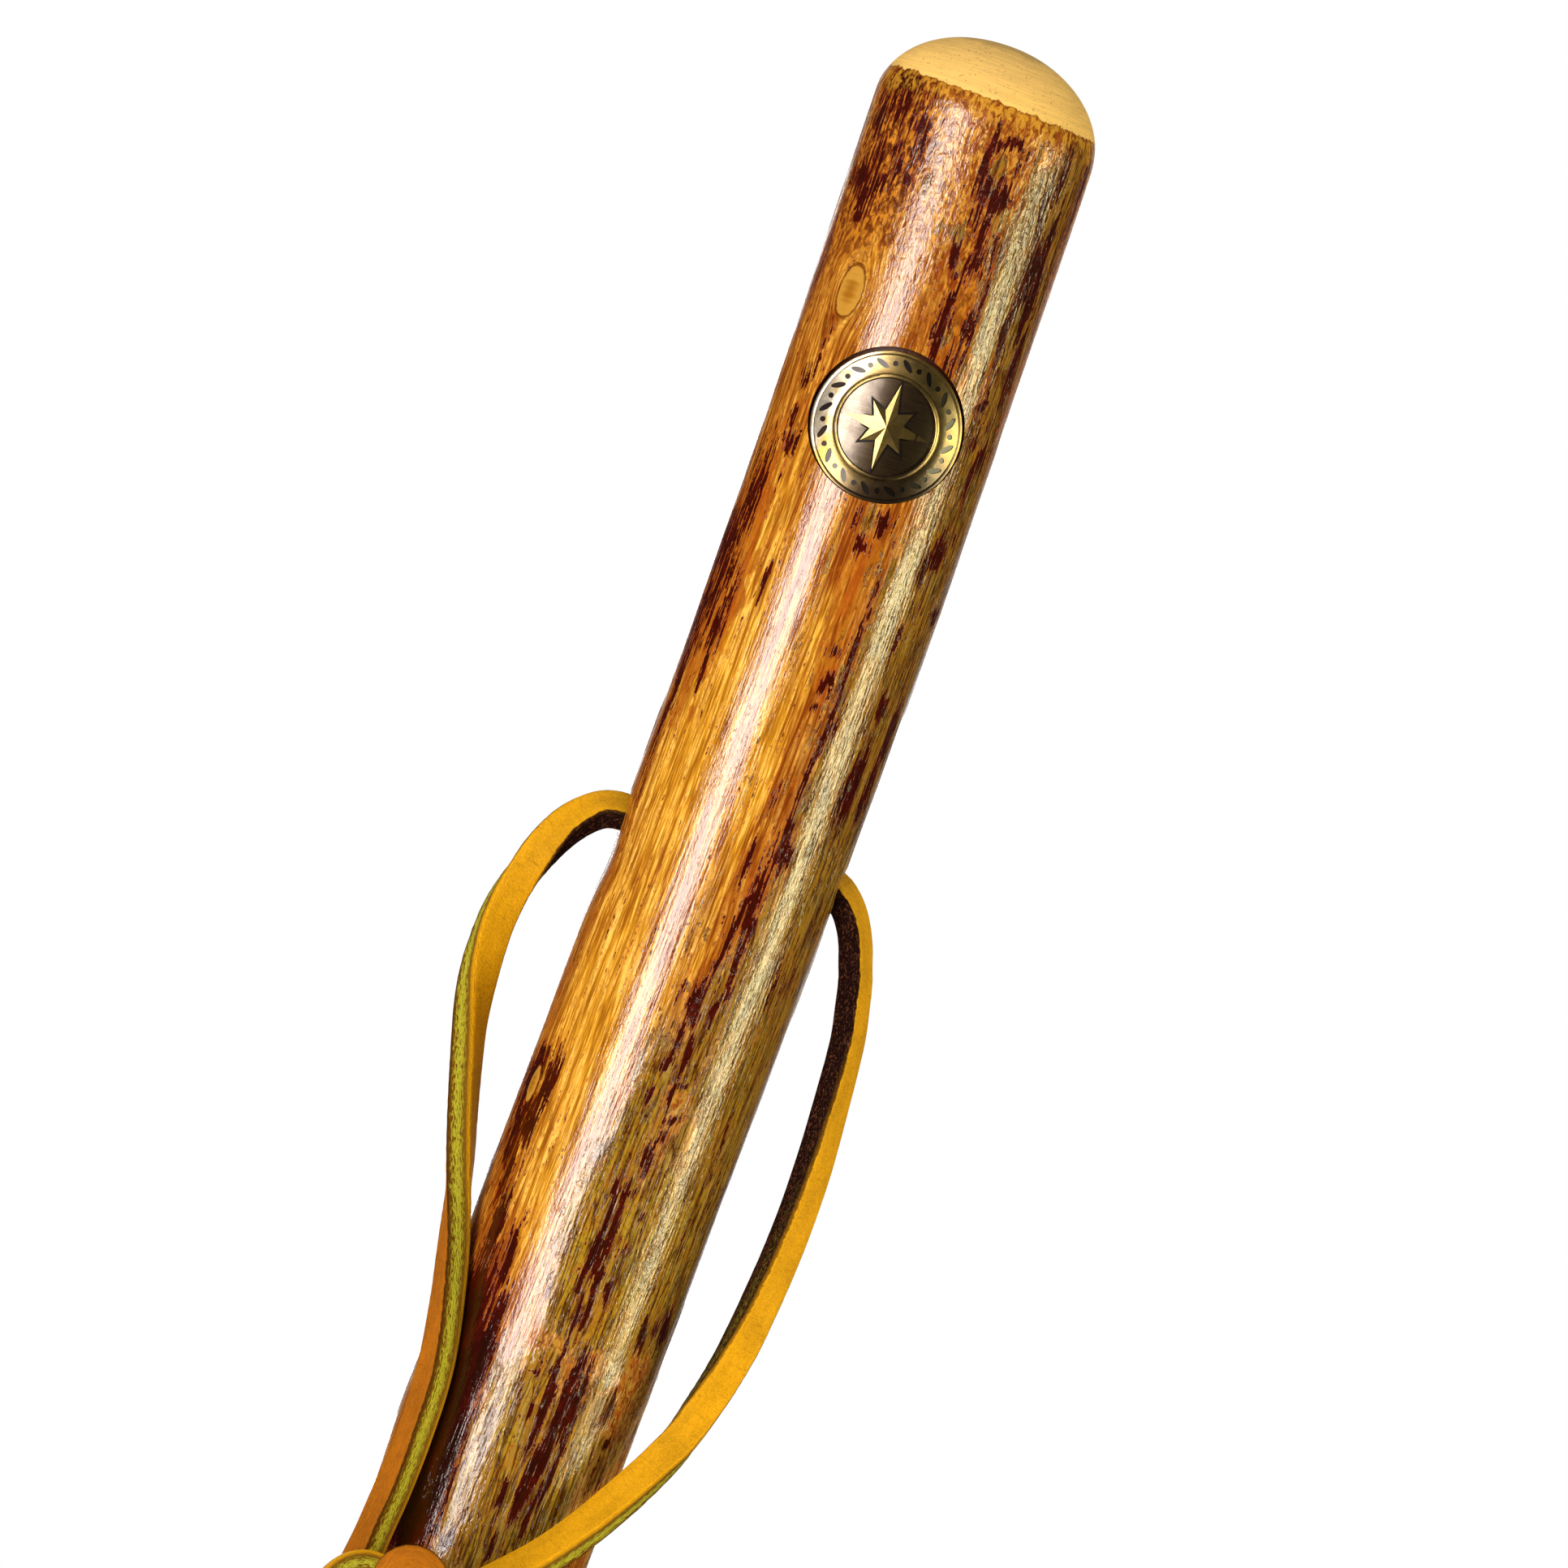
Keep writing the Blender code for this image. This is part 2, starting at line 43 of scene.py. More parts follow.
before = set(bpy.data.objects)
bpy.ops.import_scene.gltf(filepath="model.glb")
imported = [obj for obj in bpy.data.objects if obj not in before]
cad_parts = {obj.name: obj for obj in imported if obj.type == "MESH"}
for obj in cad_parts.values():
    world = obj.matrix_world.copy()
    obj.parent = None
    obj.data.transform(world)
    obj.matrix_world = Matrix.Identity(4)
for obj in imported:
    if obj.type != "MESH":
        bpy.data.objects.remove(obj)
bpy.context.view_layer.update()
MM = 0.001

# How the branch grew: share of its length, then in mm lean to the right, lean to the back, extra thickness
GROWTH = np.array([
    (0, 0, 0, 0), (0.023, 0, 0, 0), (0.036, 1, 0, -0.2), (0.059, 4, -0.4, -0.2), (0.088, 4.6, -1, -0.5),
    (0.123, 5.3, -1.4, 0.4), (0.158, 5.5, -1.2, 0.7), (0.193, 5.3, -0.4, -0.5), (0.221, 4.9, 0.4, -0.2),
    (0.251, 3, 1, 0.1), (0.279, 2.8, 1.2, 0.1), (0.318, 4.6, 1, 0.2), (0.355, 6.1, 0.4, -0.5),
    (0.395, 5.7, -0.6, -0.3), (0.439, 5.3, -1.4, -0.1), (0.491, 6.2, -1.8, -0.2), (0.526, 9.3, -1.4, 0.6),
    (0.559, 11.8, -0.4, 0.6), (0.591, 13.6, 0.4, -0.8), (0.621, 13.5, 1, 0.9), (0.656, 13, 1.2, 1.8),
    (0.714, 11.7, 0.8, 0.8), (0.772, 11.3, 0.4, 0.8), (0.801, 11, 0.2, 0.9), (0.835, 10.9, 0, 1.3),
    (0.868, 11.6, 0, 1.3), (0.916, 12.8, 0, 0.8), (0.95, 12.9, 0, 0.5), (1, 12.2, 0, 0),
]) * (1, MM, MM, MM)
# Swellings: below the crown in mm, degrees, height and half length in mm, half width in degrees
SWELLINGS = [
    (609, -24, 1.7, 19, 38), (945, -26, 1.3, 14, 34), (228, -50, 0.3, 10, 60), (346, -20, 0.5, 8, 26),
    (386, 45, 0.5, 8, 26), (135.5, -85, -0.7, 6.5, 30),
]
# The branch, in metres
STAFF_LENGTH = 1.397
SHAFT_FOOT = 0.0083
FOOT_WIDTH, HEAD_WIDTH = 0.0252, 0.0350
BORE_BELOW_CROWN, BORE_RADIUS = 0.1283, 0.0040
# How far the medallion and its recess sit to the right of the shaft's middle
MEDALLION_RIGHT, RECESS_RIGHT = 0.0006, 0.0005
# How far the wood stands up or is cut back at the branch's node, the pale knots, stains, dark knots and bare patches
NODE_RISE, EYE_RISE, EYE_GROOVE = 0.00016, 0.00010, 0.00012
STAIN_SINK, KNOT_SINK, PATCH_SINK = 0.00005, 0.00030, 0.00015

# Below the crown in mm: the sanded crown's edge, the end of the head's rounding, the node, the whittled foot
SANDED_CROWN, ROUNDED_HEAD, NODE, WHITTLED_FOOT = 9.1, 13.2, 210.5, 1352.5
# The marks on the head are placed for this radius and as seen level from this depth below the crown, in mm. From
# there the front's bulge shifts a mark at the crown by the last number.
HEAD_RADIUS, VIEW_DEPTH, BULGE_SHIFT = 17.5, 116.5, 1.85

# What the picture takes in where the staff stands, and its middle's distance to the staff's right, in metres
PHOTO_WIDTH, CAMERA_RIGHT = 0.2373, 0.0168

# The middle of the lace's run in the bore, in metres, about which the lace swings
HINGE = Vector((0.012665, 0.0, 1.26835))
# The lace, in mm from the hinge
KNOT_CENTRE = Vector((-9.5, -25.2, -123.5))
KNOT_HALF = (12, 7.5, 11)
ARCH_CENTRE = Vector((-8.4, -33.5, -116.7))
BORE_HALF = 14.7
THONG_SPACING, THONG_CORNER = 0.8, 0.55
# Its routes, with the way that its smooth face looks at each point
LEFT_LEG = [
    (-15, 0, 0, 0, -0.56, 0.83), (-18.4, 0, 0, 0, -0.6, 0.8), (-21.2, 0, -1.1, -0.16, -0.64, 0.75),
    (-24.3, -0.3, -4.2, -0.28, -0.8, 0.52), (-26.8, -0.8, -8.7, -0.18, -0.95, 0.25), (-28.7, -1.5, -14.4, 0.05, -1, 0),
    (-29.8, -2, -20, 0.26, -0.96, -0.07), (-30, -2.5, -25.3, 0.43, -0.9, 0), (-29.7, -3, -30.4, 0.66, -0.75, 0),
    (-29, -3.5, -35.3, 0.85, -0.53, 0), (-27.9, -4.2, -40.1, 0.93, -0.36, 0), (-25.3, -5.5, -49.5, 0.97, -0.23, 0),
    (-22.5, -6.6, -58.8, 0.99, -0.08, 0), (-19.9, -8.2, -68.2, 0.97, 0.24, 0), (-17.6, -11, -77.6, 0.91, 0.41, 0),
    (-15.9, -13.4, -87.3, 0.84, 0.545, 0), (-15.5, -14.6, -97.3, 0.84, 0.54, 0), (-15.8, -15.8, -106, 0.79, 0.62, 0),
    (-16.3, -17.8, -113, 0.8, 0.6, 0),
]
RIGHT_LEG = [
    (15, 0, 0, 0.3, -0.55, 0.78), (17, 0, -0.3, 0.4, -0.52, 0.76), (19.4, 0, -2.2, 0.66, -0.46, 0.6),
    (21.1, -0.1, -4.5, 0.8, -0.42, 0.42), (22.5, -0.4, -7.3, 0.88, -0.41, 0.22), (23.4, -0.6, -9.9, 0.9, -0.42, 0),
    (24.3, -1, -12.5, 0.9, -0.43, 0), (25.1, -1.4, -16, 0.9, -0.44, 0), (26.2, -2, -21.6, 0.89, -0.46, 0),
    (27, -3, -31, 0.85, -0.53, 0), (27.6, -4, -41.2, 0.77, -0.64, 0), (27.6, -5, -51.5, 0.68, -0.73, 0),
    (26.9, -6.2, -62.1, 0.6, -0.8, 0), (25.6, -7.8, -72.7, 0.34, -0.94, 0), (22.8, -10, -83.9, 0, -1, 0),
    (20.5, -11.8, -89.7, -0.24, -0.95, 0.2), (17.2, -14.1, -95.8, -0.36, -0.88, 0.3),
    (13.4, -16.6, -102, -0.38, -0.78, 0.5), (9, -18.9, -108, -0.4, -0.7, 0.58), (4.6, -21, -112.6, -0.4, -0.65, 0.62),
]
LONG_TAIL = [
    (-14.6, -25.3, -139.6, -0.2, -0.95, 0.2), (-18, -25.2, -143.2, -0.1, -0.95, 0.3),
    (-24, -24.9, -145.6, 0, -0.85, 0.5), (-32.5, -24.4, -146.6, 0, -0.75, 0.66), (-43, -24, -146.6, 0, -0.7, 0.7),
    (-54, -23.8, -145.4, 0, -0.66, 0.75),
]
SHORT_TAIL = [
    (-5.4, -25.3, -139.2, -0.1, -0.99, 0), (-2.9, -25.1, -144.2, 0.2, -0.97, 0), (0.3, -24.9, -148.2, 0.4, -0.9, 0.1),
]
# Where each strand meets the knot: direction from the knot's centre
LEFT_ENTRY = (-0.66, 0.42, 0.50)
RIGHT_ENTRY = (0.80, 0.15, 0.55)
LONG_EXIT = (-0.30, 0.00, -0.95)
SHORT_EXIT = (0.28, 0.00, -0.96)
# How dark and fuzzy the cut edges are along each leg, a painted shade strongest near the bore: distance from its start
# in mm, amount
LEFT_PAINTED_SHADE = [(0, 0.95), (14, 0.95), (24, 0.0)]
RIGHT_PAINTED_SHADE = [(0, 1.0), (24, 1.0), (38, 0.8), (60, 0.62), (85, 0.45), (105, 0.0)]

# Marks on the front of the head: below the crown, right of the middle, half length and half width, all in mm,
# and how strong the mark is
# Dark stains; the broad dark rows below the node at the left paint the lace's shadow as well
STAINS_AND_SHADOW = [
    (10.5, -13.5, 2.2, 3.5, .89), (14.5, -14.5, 3, 2, .54), (17.5, -15.5, 2.5, 1, .68), (19.5, -8.5, 3, .9, .76),
    (23.3, -10.3, 1.6, 1, .79), (26, -15.2, 3, 1.8, .94), (26.5, -12.4, 2.5, 1, .76), (31.5, -13.5, 1.2, 1, .96),
    (14, 4.8, .9, 2.8, .95), (18, 2, 4.5, .7, .95), (22, 3.2, 1, 1.6, .95), (20.3, 5.2, .9, 1.2, .8),
    (21.8, 6.3, .8, 1.2, .95), (26, 3, 3, .6, .8), (28, 5.5, 2.5, 1.2, .6), (33, 1.9, 2.2, .5, .9),
    (35.2, 3, .8, .8, .9), (33, 3.9, 1.5, .4, .8), (32, 5.8, 3.5, 1.1, .62), (42, 3.5, 3.8, .7, .9),
    (42, 7, 2.5, .7, .85), (47.5, 6.5, 3, 1, .6), (30.5, 13.8, 5, .8, 1.15), (27, 14.6, 5, .4, 1.08),
    (38, 8, 7, .3, .7), (20, 16.8, 8, .4, .81), (35.5, 14, 1.2, .6, 1.22), (40, -16.8, 8, .5, .6),
    (57.5, -13.2, 1.5, .6, .9), (63, -13.2, 2.2, .4, .8), (67.5, -12.2, 1.5, .9, .8), (84, -16.5, 7, .9, .85),
    (97, -16.5, 8, .9, .8), (97, -13.8, 4.5, .7, .85), (74, 5.3, 2, 1, .85), (78.5, 2.7, 1.6, 1.1, .85),
    (74, 1.2, 2.5, .8, .6), (59, 13.5, .8, .8, 1.08), (52.8, 13, .7, .9, 1.08), (60, 15.5, 3, .6, .81),
    (64, 15, 4, .8, .81), (76, 14.2, 3, .7, 1.08), (80, 13, 2.5, .4, 1.08), (85, 16.7, 1.2, .5, 1.28),
    (90.5, 12.6, 2.2, .3, 1.08), (88, 7.8, 1.5, .4, .7), (95, 4.5, .9, .8, .85), (99.8, 4.6, 1.6, 1, .95),
    (104.5, 4.3, 1, .6, .8), (100, 7.4, 6, .3, .8), (106, 8, 2, .3, .85), (100.5, 14, 1.8, .5, 1.22),
    (113.5, 13, 5.5, .35, 1.22), (112.5, 13.9, 6, .3, 1.22), (113, 16.1, 5, .4, 1.22), (104, 16.4, 5, .3, 1.08),
    (110, 6.8, 3, .4, .8), (118, 3.4, 1.8, .5, .7), (121.5, 6.6, 2.5, .4, .7), (126, 6.8, 3.5, .9, .9),
    (128.5, 3, 2.5, .5, .85), (126.5, 8, 1.8, .3, .95), (136, 5.8, 3, 1.3, .8), (138.5, 6.5, 2, 1.4, .9),
    (142, 4.2, 4, .7, .9), (145.5, 3.6, 1.5, .8, .9), (144, 6.6, 5.5, .3, .9), (149.5, 7, 1.5, .5, .8),
    (151.5, 3, 4, .9, .85), (153.5, 5.9, 2, .5, .95), (154.5, 3.8, 1.4, .7, .95), (150, .6, 2.5, .2, .6),
    (158.5, 2.7, 2.5, .6, .95), (161.5, 2.5, 1.2, .5, .9), (162, 1.7, 1.5, .2, .8), (160.5, 4.6, 3.5, .25, .9),
    (164.6, 5.5, .4, 1.2, .8), (167, 4.4, 1.6, .25, .9), (169.8, 6, .6, 1.4, .8), (168, 1.4, 1.3, .3, .85),
    (173, 5.3, 1.1, .5, .9), (176.5, 4.1, 1.8, .5, .95), (177.5, 5, 1.5, .4, .9), (168, -16, 2.5, .8, 1),
    (172, -16.2, 4.5, 1, 1.06), (178, -15.5, 7, 1.2, .88), (168.5, -13.8, 1, .4, .88), (183, 1.3, 1.5, .5, .9),
    (183.5, 3.2, 1.2, .7, .95), (182.5, 4.6, .8, .4, .9), (185.7, 6.9, .8, .35, .9), (189, 1.9, 6, .5, 1.17),
    (188, 3.3, 5, .5, 1.17), (193.5, 3.4, 4, .5, .85), (194, 2.2, 3, .6, 1.23), (197.5, 4.2, 3, .5, 1.17),
    (199, 2, 1.5, .5, .95), (201.5, 4.2, 2.6, .4, 1.23), (202.5, 2.6, 2, .3, 1.23), (191, 6, 1.2, .4, .9),
    (197, 6.2, 2, .35, 1.17), (201, -2.6, 2, .25, .7), (186, -14.6, 6, .5, .9), (195, -12.7, 5, .7, .7),
    (200, -16, 4, .5, .8), (207.5, -9, 3, .8, .8), (222, -12, 10, 2.2, 1), (202, 13.2, 2, .5, 1.22),
    (200, 15.8, 3, .5, 1.08), (201.5, 14.5, 1.2, .4, .94), (207, 2.8, .5, .4, .8), (209.3, 3.3, 1, .4, .9),
    (211.7, 1.8, .6, .4, .95), (212.5, 7.2, .7, 1, .9), (208, 6.8, .6, .3, .8), (218, 3, 6, .6, 1.27),
    (214, 5, 2.5, .4, 1.17), (221, 5.6, 8, .7, 1.27), (220, 7.6, 5.5, .45, 1.27), (227, 4.6, 6, .45, 1.27),
    (219, 1, 1.6, .35, .9), (214.5, 12.2, 2, .6, 1.08), (217, 11.2, 1.8, .5, .7), (228, 7.3, 4, .5, 1.23),
    (231, 4.2, 6, .45, 1.23), (233, 6.5, 4, .5, 1.04), (232, 1.7, 3, .3, 1.04), (241.5, -4, 1.6, .8, .95),
    (240, 3, 2, .6, .9), (219.5, 13.8, 1.2, .3, 1.22), (222, -4, 4, .35, .8), (226, -3.2, 2, .4, .6),
    # Below the node at the left: dark stain and painted shadow under the lace
    (213.4, 0, .3, 2.2, .8), (209, -12.5, 9, 2.2, 1.4), (222, -10.8, 12, 2.4, 1.7), (238, -10, 9, 2.6, 1.7),
    (193, -13.4, 9, .8, .8), (213, -8.4, 7, 1.2, 1.7), (230, -8, 10, 1.5, 1.7), (199, -9.8, 5, .8, 1.1),
    (86, -15.6, 14, 1.1, .78), (95, -13.4, 7, .7, .8), (88, -9, 2.6, .35, 1), (104, -13.2, 3, .3, .9),
    (110, -16.3, 14, .4, .8), (92, 7.2, 11, .4, .82), (110, 7, 10, .45, .82), (125.5, 6.9, 4.5, .9, .82),
    (134, 6, 3.6, 1.1, .82), (22, -14, 4, .8, .79), (13, -13, 3, 2.2, .79), (16, -9.5, 2, 1.4, .76),
    (20, -11.5, 1.6, .8, .76), (28.5, -14, 2.5, 1.6, .84), (24, -8.5, 1.4, .9, .92), (37, 4.3, 7, .5, .8),
    (46, 3.6, 5, .6, .9), (50, -12.5, 4, .3, .6), (76, -14.5, 7, .5, .7), (16, 13.5, 4, .3, 1.08),
    (22, 12.2, 6, .3, 1.08), (34, 14.8, 8, .4, 1.22), (40, 12.8, 7, .3, 1.08), (46, 15.6, 6, .5, 1.08),
    (19.5, 3, 1.2, .5, 1), (16.5, 6.8, 1.4, .5, .9), (23.5, 5.2, 1.2, .9, 1), (28, 4.6, 3, .4, .9),
    (30.5, 7.4, 4, .35, .8), (214, 7.3, 6, .5, 1.3), (210.5, 5.6, 4, .4, 1.2), (216, 6.4, 5, .35, 1.1),
    (171, -13.2, 5, .8, .9), (177, -14, 4, 1, .9),
]
BARK = [
    (18, 4, 2.5, .9, .9), (21, 3.4, 1.6, .8, .9), (24.3, 6.5, 2, 1.5, 1), (17.7, 2, .7, .7, 1),
    (29.5, .8, 1.8, 1.9, .7), (33.8, 3, 1.5, .6, .9), (45, 4.4, 2.5, .4, .9), (16.5, -15.3, 2.2, .9, .7),
    (24, -5.6, 2.2, .9, .7), (32, 10.5, 18, 2.4, 1), (32, 14.5, 22, 2.6, 1), (66, 14.5, 20, 3, 1.05),
    (88, 13, 16, 3.6, 1.1), (112, 12.8, 20, 4, 1.15), (150, 13.4, 26, 4.4, 1.2), (195, 13.4, 26, 4.6, 1.2),
    (134, 12.5, 6, 3.5, 1), (74.5, 3, 2.5, .8, .8), (100, 16.5, 30, 1.5, 1), (160, 16.5, 40, 1.5, 1),
    (100, -.8, 24, 1.0, .27), (140, -.5, 14, 1.4, .30), (158, 5.6, 12, 2.2, .95), (172, 1, 14, 2.6, 1.0),
    (190, 1.5, 16, 4.4, 1.15), (195, 7, 16, 3.6, 1.1), (228, 0, 15, 5, 1.3), (228, 7, 14, 4.5, 1.15),
    (218, 11, 6, 2.4, 1.2),
]
REDDENED = [
    (212, 14.5, 8, 2.2, 1.3), (37, 5, 10, 2.5, .8), (85, 4.5, 12, 3, .7), (125, 6.5, 14, 1.5, .7),
    (22, -12, 12, 4.2, 1.1), (13, -12.5, 3.5, 3.5, 1.2), (33, -14.5, 6, 2.5, .9), (100, 4.6, 8, 1.6, .6),
    (208, -1, 1.7, 2.8, 1.2), (207.6, 2, 1.5, 1.2, 1), (210.5, 4, 1.4, 1.2, .9), (208.8, 7.8, 2.2, 2.2, 1.2),
    (212, 10.5, 1.4, 2.2, .8), (167, 6, 1.9, 1.6, 1), (168, -2.5, 1.6, 1.7, .9), (170, -16, 10, 2, .6),
    (140, 4.2, 14, 1.6, .6), (88, -14.5, 20, 2.4, 1), (140, -16.6, 30, .8, .6), (50, 4, 6, 2, .6),
]
GOLDEN = [
    (74, -12, 18, 3.5, .7), (112, -11.5, 30, 5, 1), (158, -11.5, 26, 5, 1), (186, -8.5, 11, 3, .8),
    (112, 0, 26, 2.4, .85), (150, -1, 14, 2.5, .6), (40, -10, 8, 2.5, .6),
]
# Peeled patches down the staff: below the crown in mm, degrees, half length in mm, half width in degrees
BARE_PATCHES = [
    (611, -24, 15, 27), (600, 5, 21, 30), (598, 36, 22, 36), (625, 42, 17, 30), (584, -6, 13, 16),
    (612, 10, 19, 30), (497, 65, 9, 13), (944, -16, 16, 28), (936, 6, 13, 24), (1066, -70, 8, 25),
    (1058, 50, 7, 20), (1100, 60, 7, 20), (345, -20, 7, 17), (383, 45, 6, 15), (711, -30, 6, 16),
    (781, 20, 7, 16), (470, 170, 14, 20), (820, -150, 18, 22), (1210, 150, 12, 20), (1248, 10, 7, 13),
]
# Small pale knots: below the crown in mm, degrees, half length and half width in mm
EYES = [
    (43.7, -39.8, 4.0, 2.2), (345, -20, 4.4, 3.6), (383, 45, 3.6, 2.8), (711, -30, 3.2, 2.6), (781, 20, 3.6, 2.8),
    (171.5, -63, 3.0, 1.2), (1248, 10, 3.4, 2.6), (470, 170, 4.0, 3.2), (820, -150, 4.4, 3.4),
]
# Dark knots with a pale heart
DARK_KNOTS = [(611, -22, 4.3, 3.2), (944, -17, 3.6, 2.7)]

COLOUR = {"subtype": "COLOR", "min": 0.0, "max": 1.0}
RELIEF = {"min": 0.0, "max": 0.001, "unit": "LENGTH", "precision": 5}


class WoodSettings(bpy.types.PropertyGroup):
    """Colours and relief of the varnished branch."""

    amber: FloatVectorProperty(
        name="Amber wood", description="The peeled and varnished wood", default=(0.52, 0.190, 0.012), **COLOUR)
    amber_light: FloatVectorProperty(
        name="Light grain", description="The lighter grain lines", default=(0.82, 0.40, 0.050), **COLOUR)
    amber_dark: FloatVectorProperty(
        name="Dark grain", description="The darker grain lines", default=(0.24, 0.045, 0.003), **COLOUR)
    golden: FloatVectorProperty(
        name="Golden wood", description="The cleanest peeled wood", default=(0.66, 0.285, 0.014), **COLOUR)
    red_wood: FloatVectorProperty(
        name="Reddened wood", description="The wood just under the bark", default=(0.38, 0.062, 0.004), **COLOUR)
    khaki: FloatVectorProperty(
        name="Inner bark", description="The islands of inner bark", default=(0.260, 0.130, 0.011), **COLOUR)
    khaki_light: FloatVectorProperty(
        name="Light inner bark", description="Inner bark below the lace", default=(0.40, 0.222, 0.012), **COLOUR)
    khaki_grey: FloatVectorProperty(
        name="Grey inner bark", description="Inner bark down the staff", default=(0.38, 0.232, 0.036), **COLOUR)
    # Dark stains, and the painted shadow under the lace below the node
    stain_and_shadow: FloatVectorProperty(
        name="Dark stain", description="Dark streaks and furrows", default=(0.026, 0.0011, 0.0005), **COLOUR)
    pale: FloatVectorProperty(
        name="Bare wood", description="The sanded crown", default=(0.90, 0.54, 0.120), **COLOUR)
    plate_height: FloatProperty(
        name="Bark height", description="How far the bark stands above the wood", default=0.00009, **RELIEF)
    lump_height: FloatProperty(
        name="Lumps", description="How uneven the peeled surface is", default=0.00012, **RELIEF)


class MedallionSettings(bpy.types.PropertyGroup):
    """Sizes and colours of the brass medallion."""

    below_crown: FloatProperty(
        name="Below the crown", description="From the staff's top to its middle", default=0.0613, unit="LENGTH")
    diameter: FloatProperty(name="Diameter", description="Width of the disc", default=0.0229, unit="LENGTH")
    ring_diameter: FloatProperty(
        name="Ring", description="Width of the raised ring round the field", default=0.0158, unit="LENGTH")
    star_diameter: FloatProperty(
        name="Star", description="Width of the raised compass star", default=0.0134, unit="LENGTH")
    brass: FloatVectorProperty(
        name="Bright brass", description="The polished high places", default=(0.50, 0.325, 0.070), **COLOUR)
    patina: FloatVectorProperty(
        name="Patina", description="The darkened low places", default=(0.042, 0.015, 0.005), **COLOUR)


class LaceSettings(bpy.types.PropertyGroup):
    """Sizes and colours of the leather lace."""

    width: FloatProperty(name="Width", description="Width of the thong", default=0.0052, unit="LENGTH")
    thickness: FloatProperty(name="Thickness", description="Thickness of the thong", default=0.0038, unit="LENGTH")
    smooth_face: FloatVectorProperty(
        name="Smooth face", description="The leather's grain side", default=(0.68, 0.315, 0.003), **COLOUR)
    rough_face: FloatVectorProperty(
        name="Rough face", description="The leather's flesh side", default=(0.36, 0.108, 0.002), **COLOUR)
    cut_face: FloatVectorProperty(
        name="Cut edge", description="The middle of the cut edges", default=(0.38, 0.35, 0.022), **COLOUR)


class TipSettings(bpy.types.PropertyGroup):
    """Sizes and colour of the rubber tip."""

    height: FloatProperty(name="Height", description="Height of the tip", default=0.032, unit="LENGTH")
    rim_diameter: FloatProperty(name="Rim", description="Width at the upper rim", default=0.0286, unit="LENGTH")
    foot_diameter: FloatProperty(name="Foot", description="Width at the foot", default=0.0334, unit="LENGTH")
    rubber: FloatVectorProperty(
        name="Rubber", description="The moulded rubber", default=(0.036, 0.0112, 0.0034), **COLOUR)


class StageSettings(bpy.types.PropertyGroup):
    """Camera and light."""

    camera_distance: FloatProperty(
        name="Camera distance", description="From the staff to the camera", default=1.1, unit="LENGTH")
    camera_height: FloatProperty(
        name="Camera height", description="Height of the camera", default=1.2805, unit="LENGTH")
    camera_roll: FloatProperty(
        name="Camera roll", description="How far the camera is tipped", default=math.radians(19.5), unit="ROTATION")
    key_strength: FloatProperty(
        name="Key light", description="Strength of the tall soft box at the left", default=12.5, min=0.0)
    side_strength: FloatProperty(
        name="Side light", description="Strength of the narrow soft box at the right", default=13.5, min=0.0)
    room_strength: FloatProperty(
        name="Room light", description="Strength of the light from the room", default=0.34, min=0.0)


class Wire:
    """A socket that carries a number, extended by Python's operators with Math nodes."""

    def __init__(self, bench, socket):
        self.bench = bench
        self.socket = socket

    def __add__(self, other):
        return self.bench.maths("ADD", self, other)

    def __sub__(self, other):
        return self.bench.maths("SUBTRACT", self, other)

    def __rsub__(self, other):
        return self.bench.maths("SUBTRACT", other, self)

    def __mul__(self, other):
        return self.bench.maths("MULTIPLY", self, other)

    __radd__, __rmul__ = __add__, __mul__


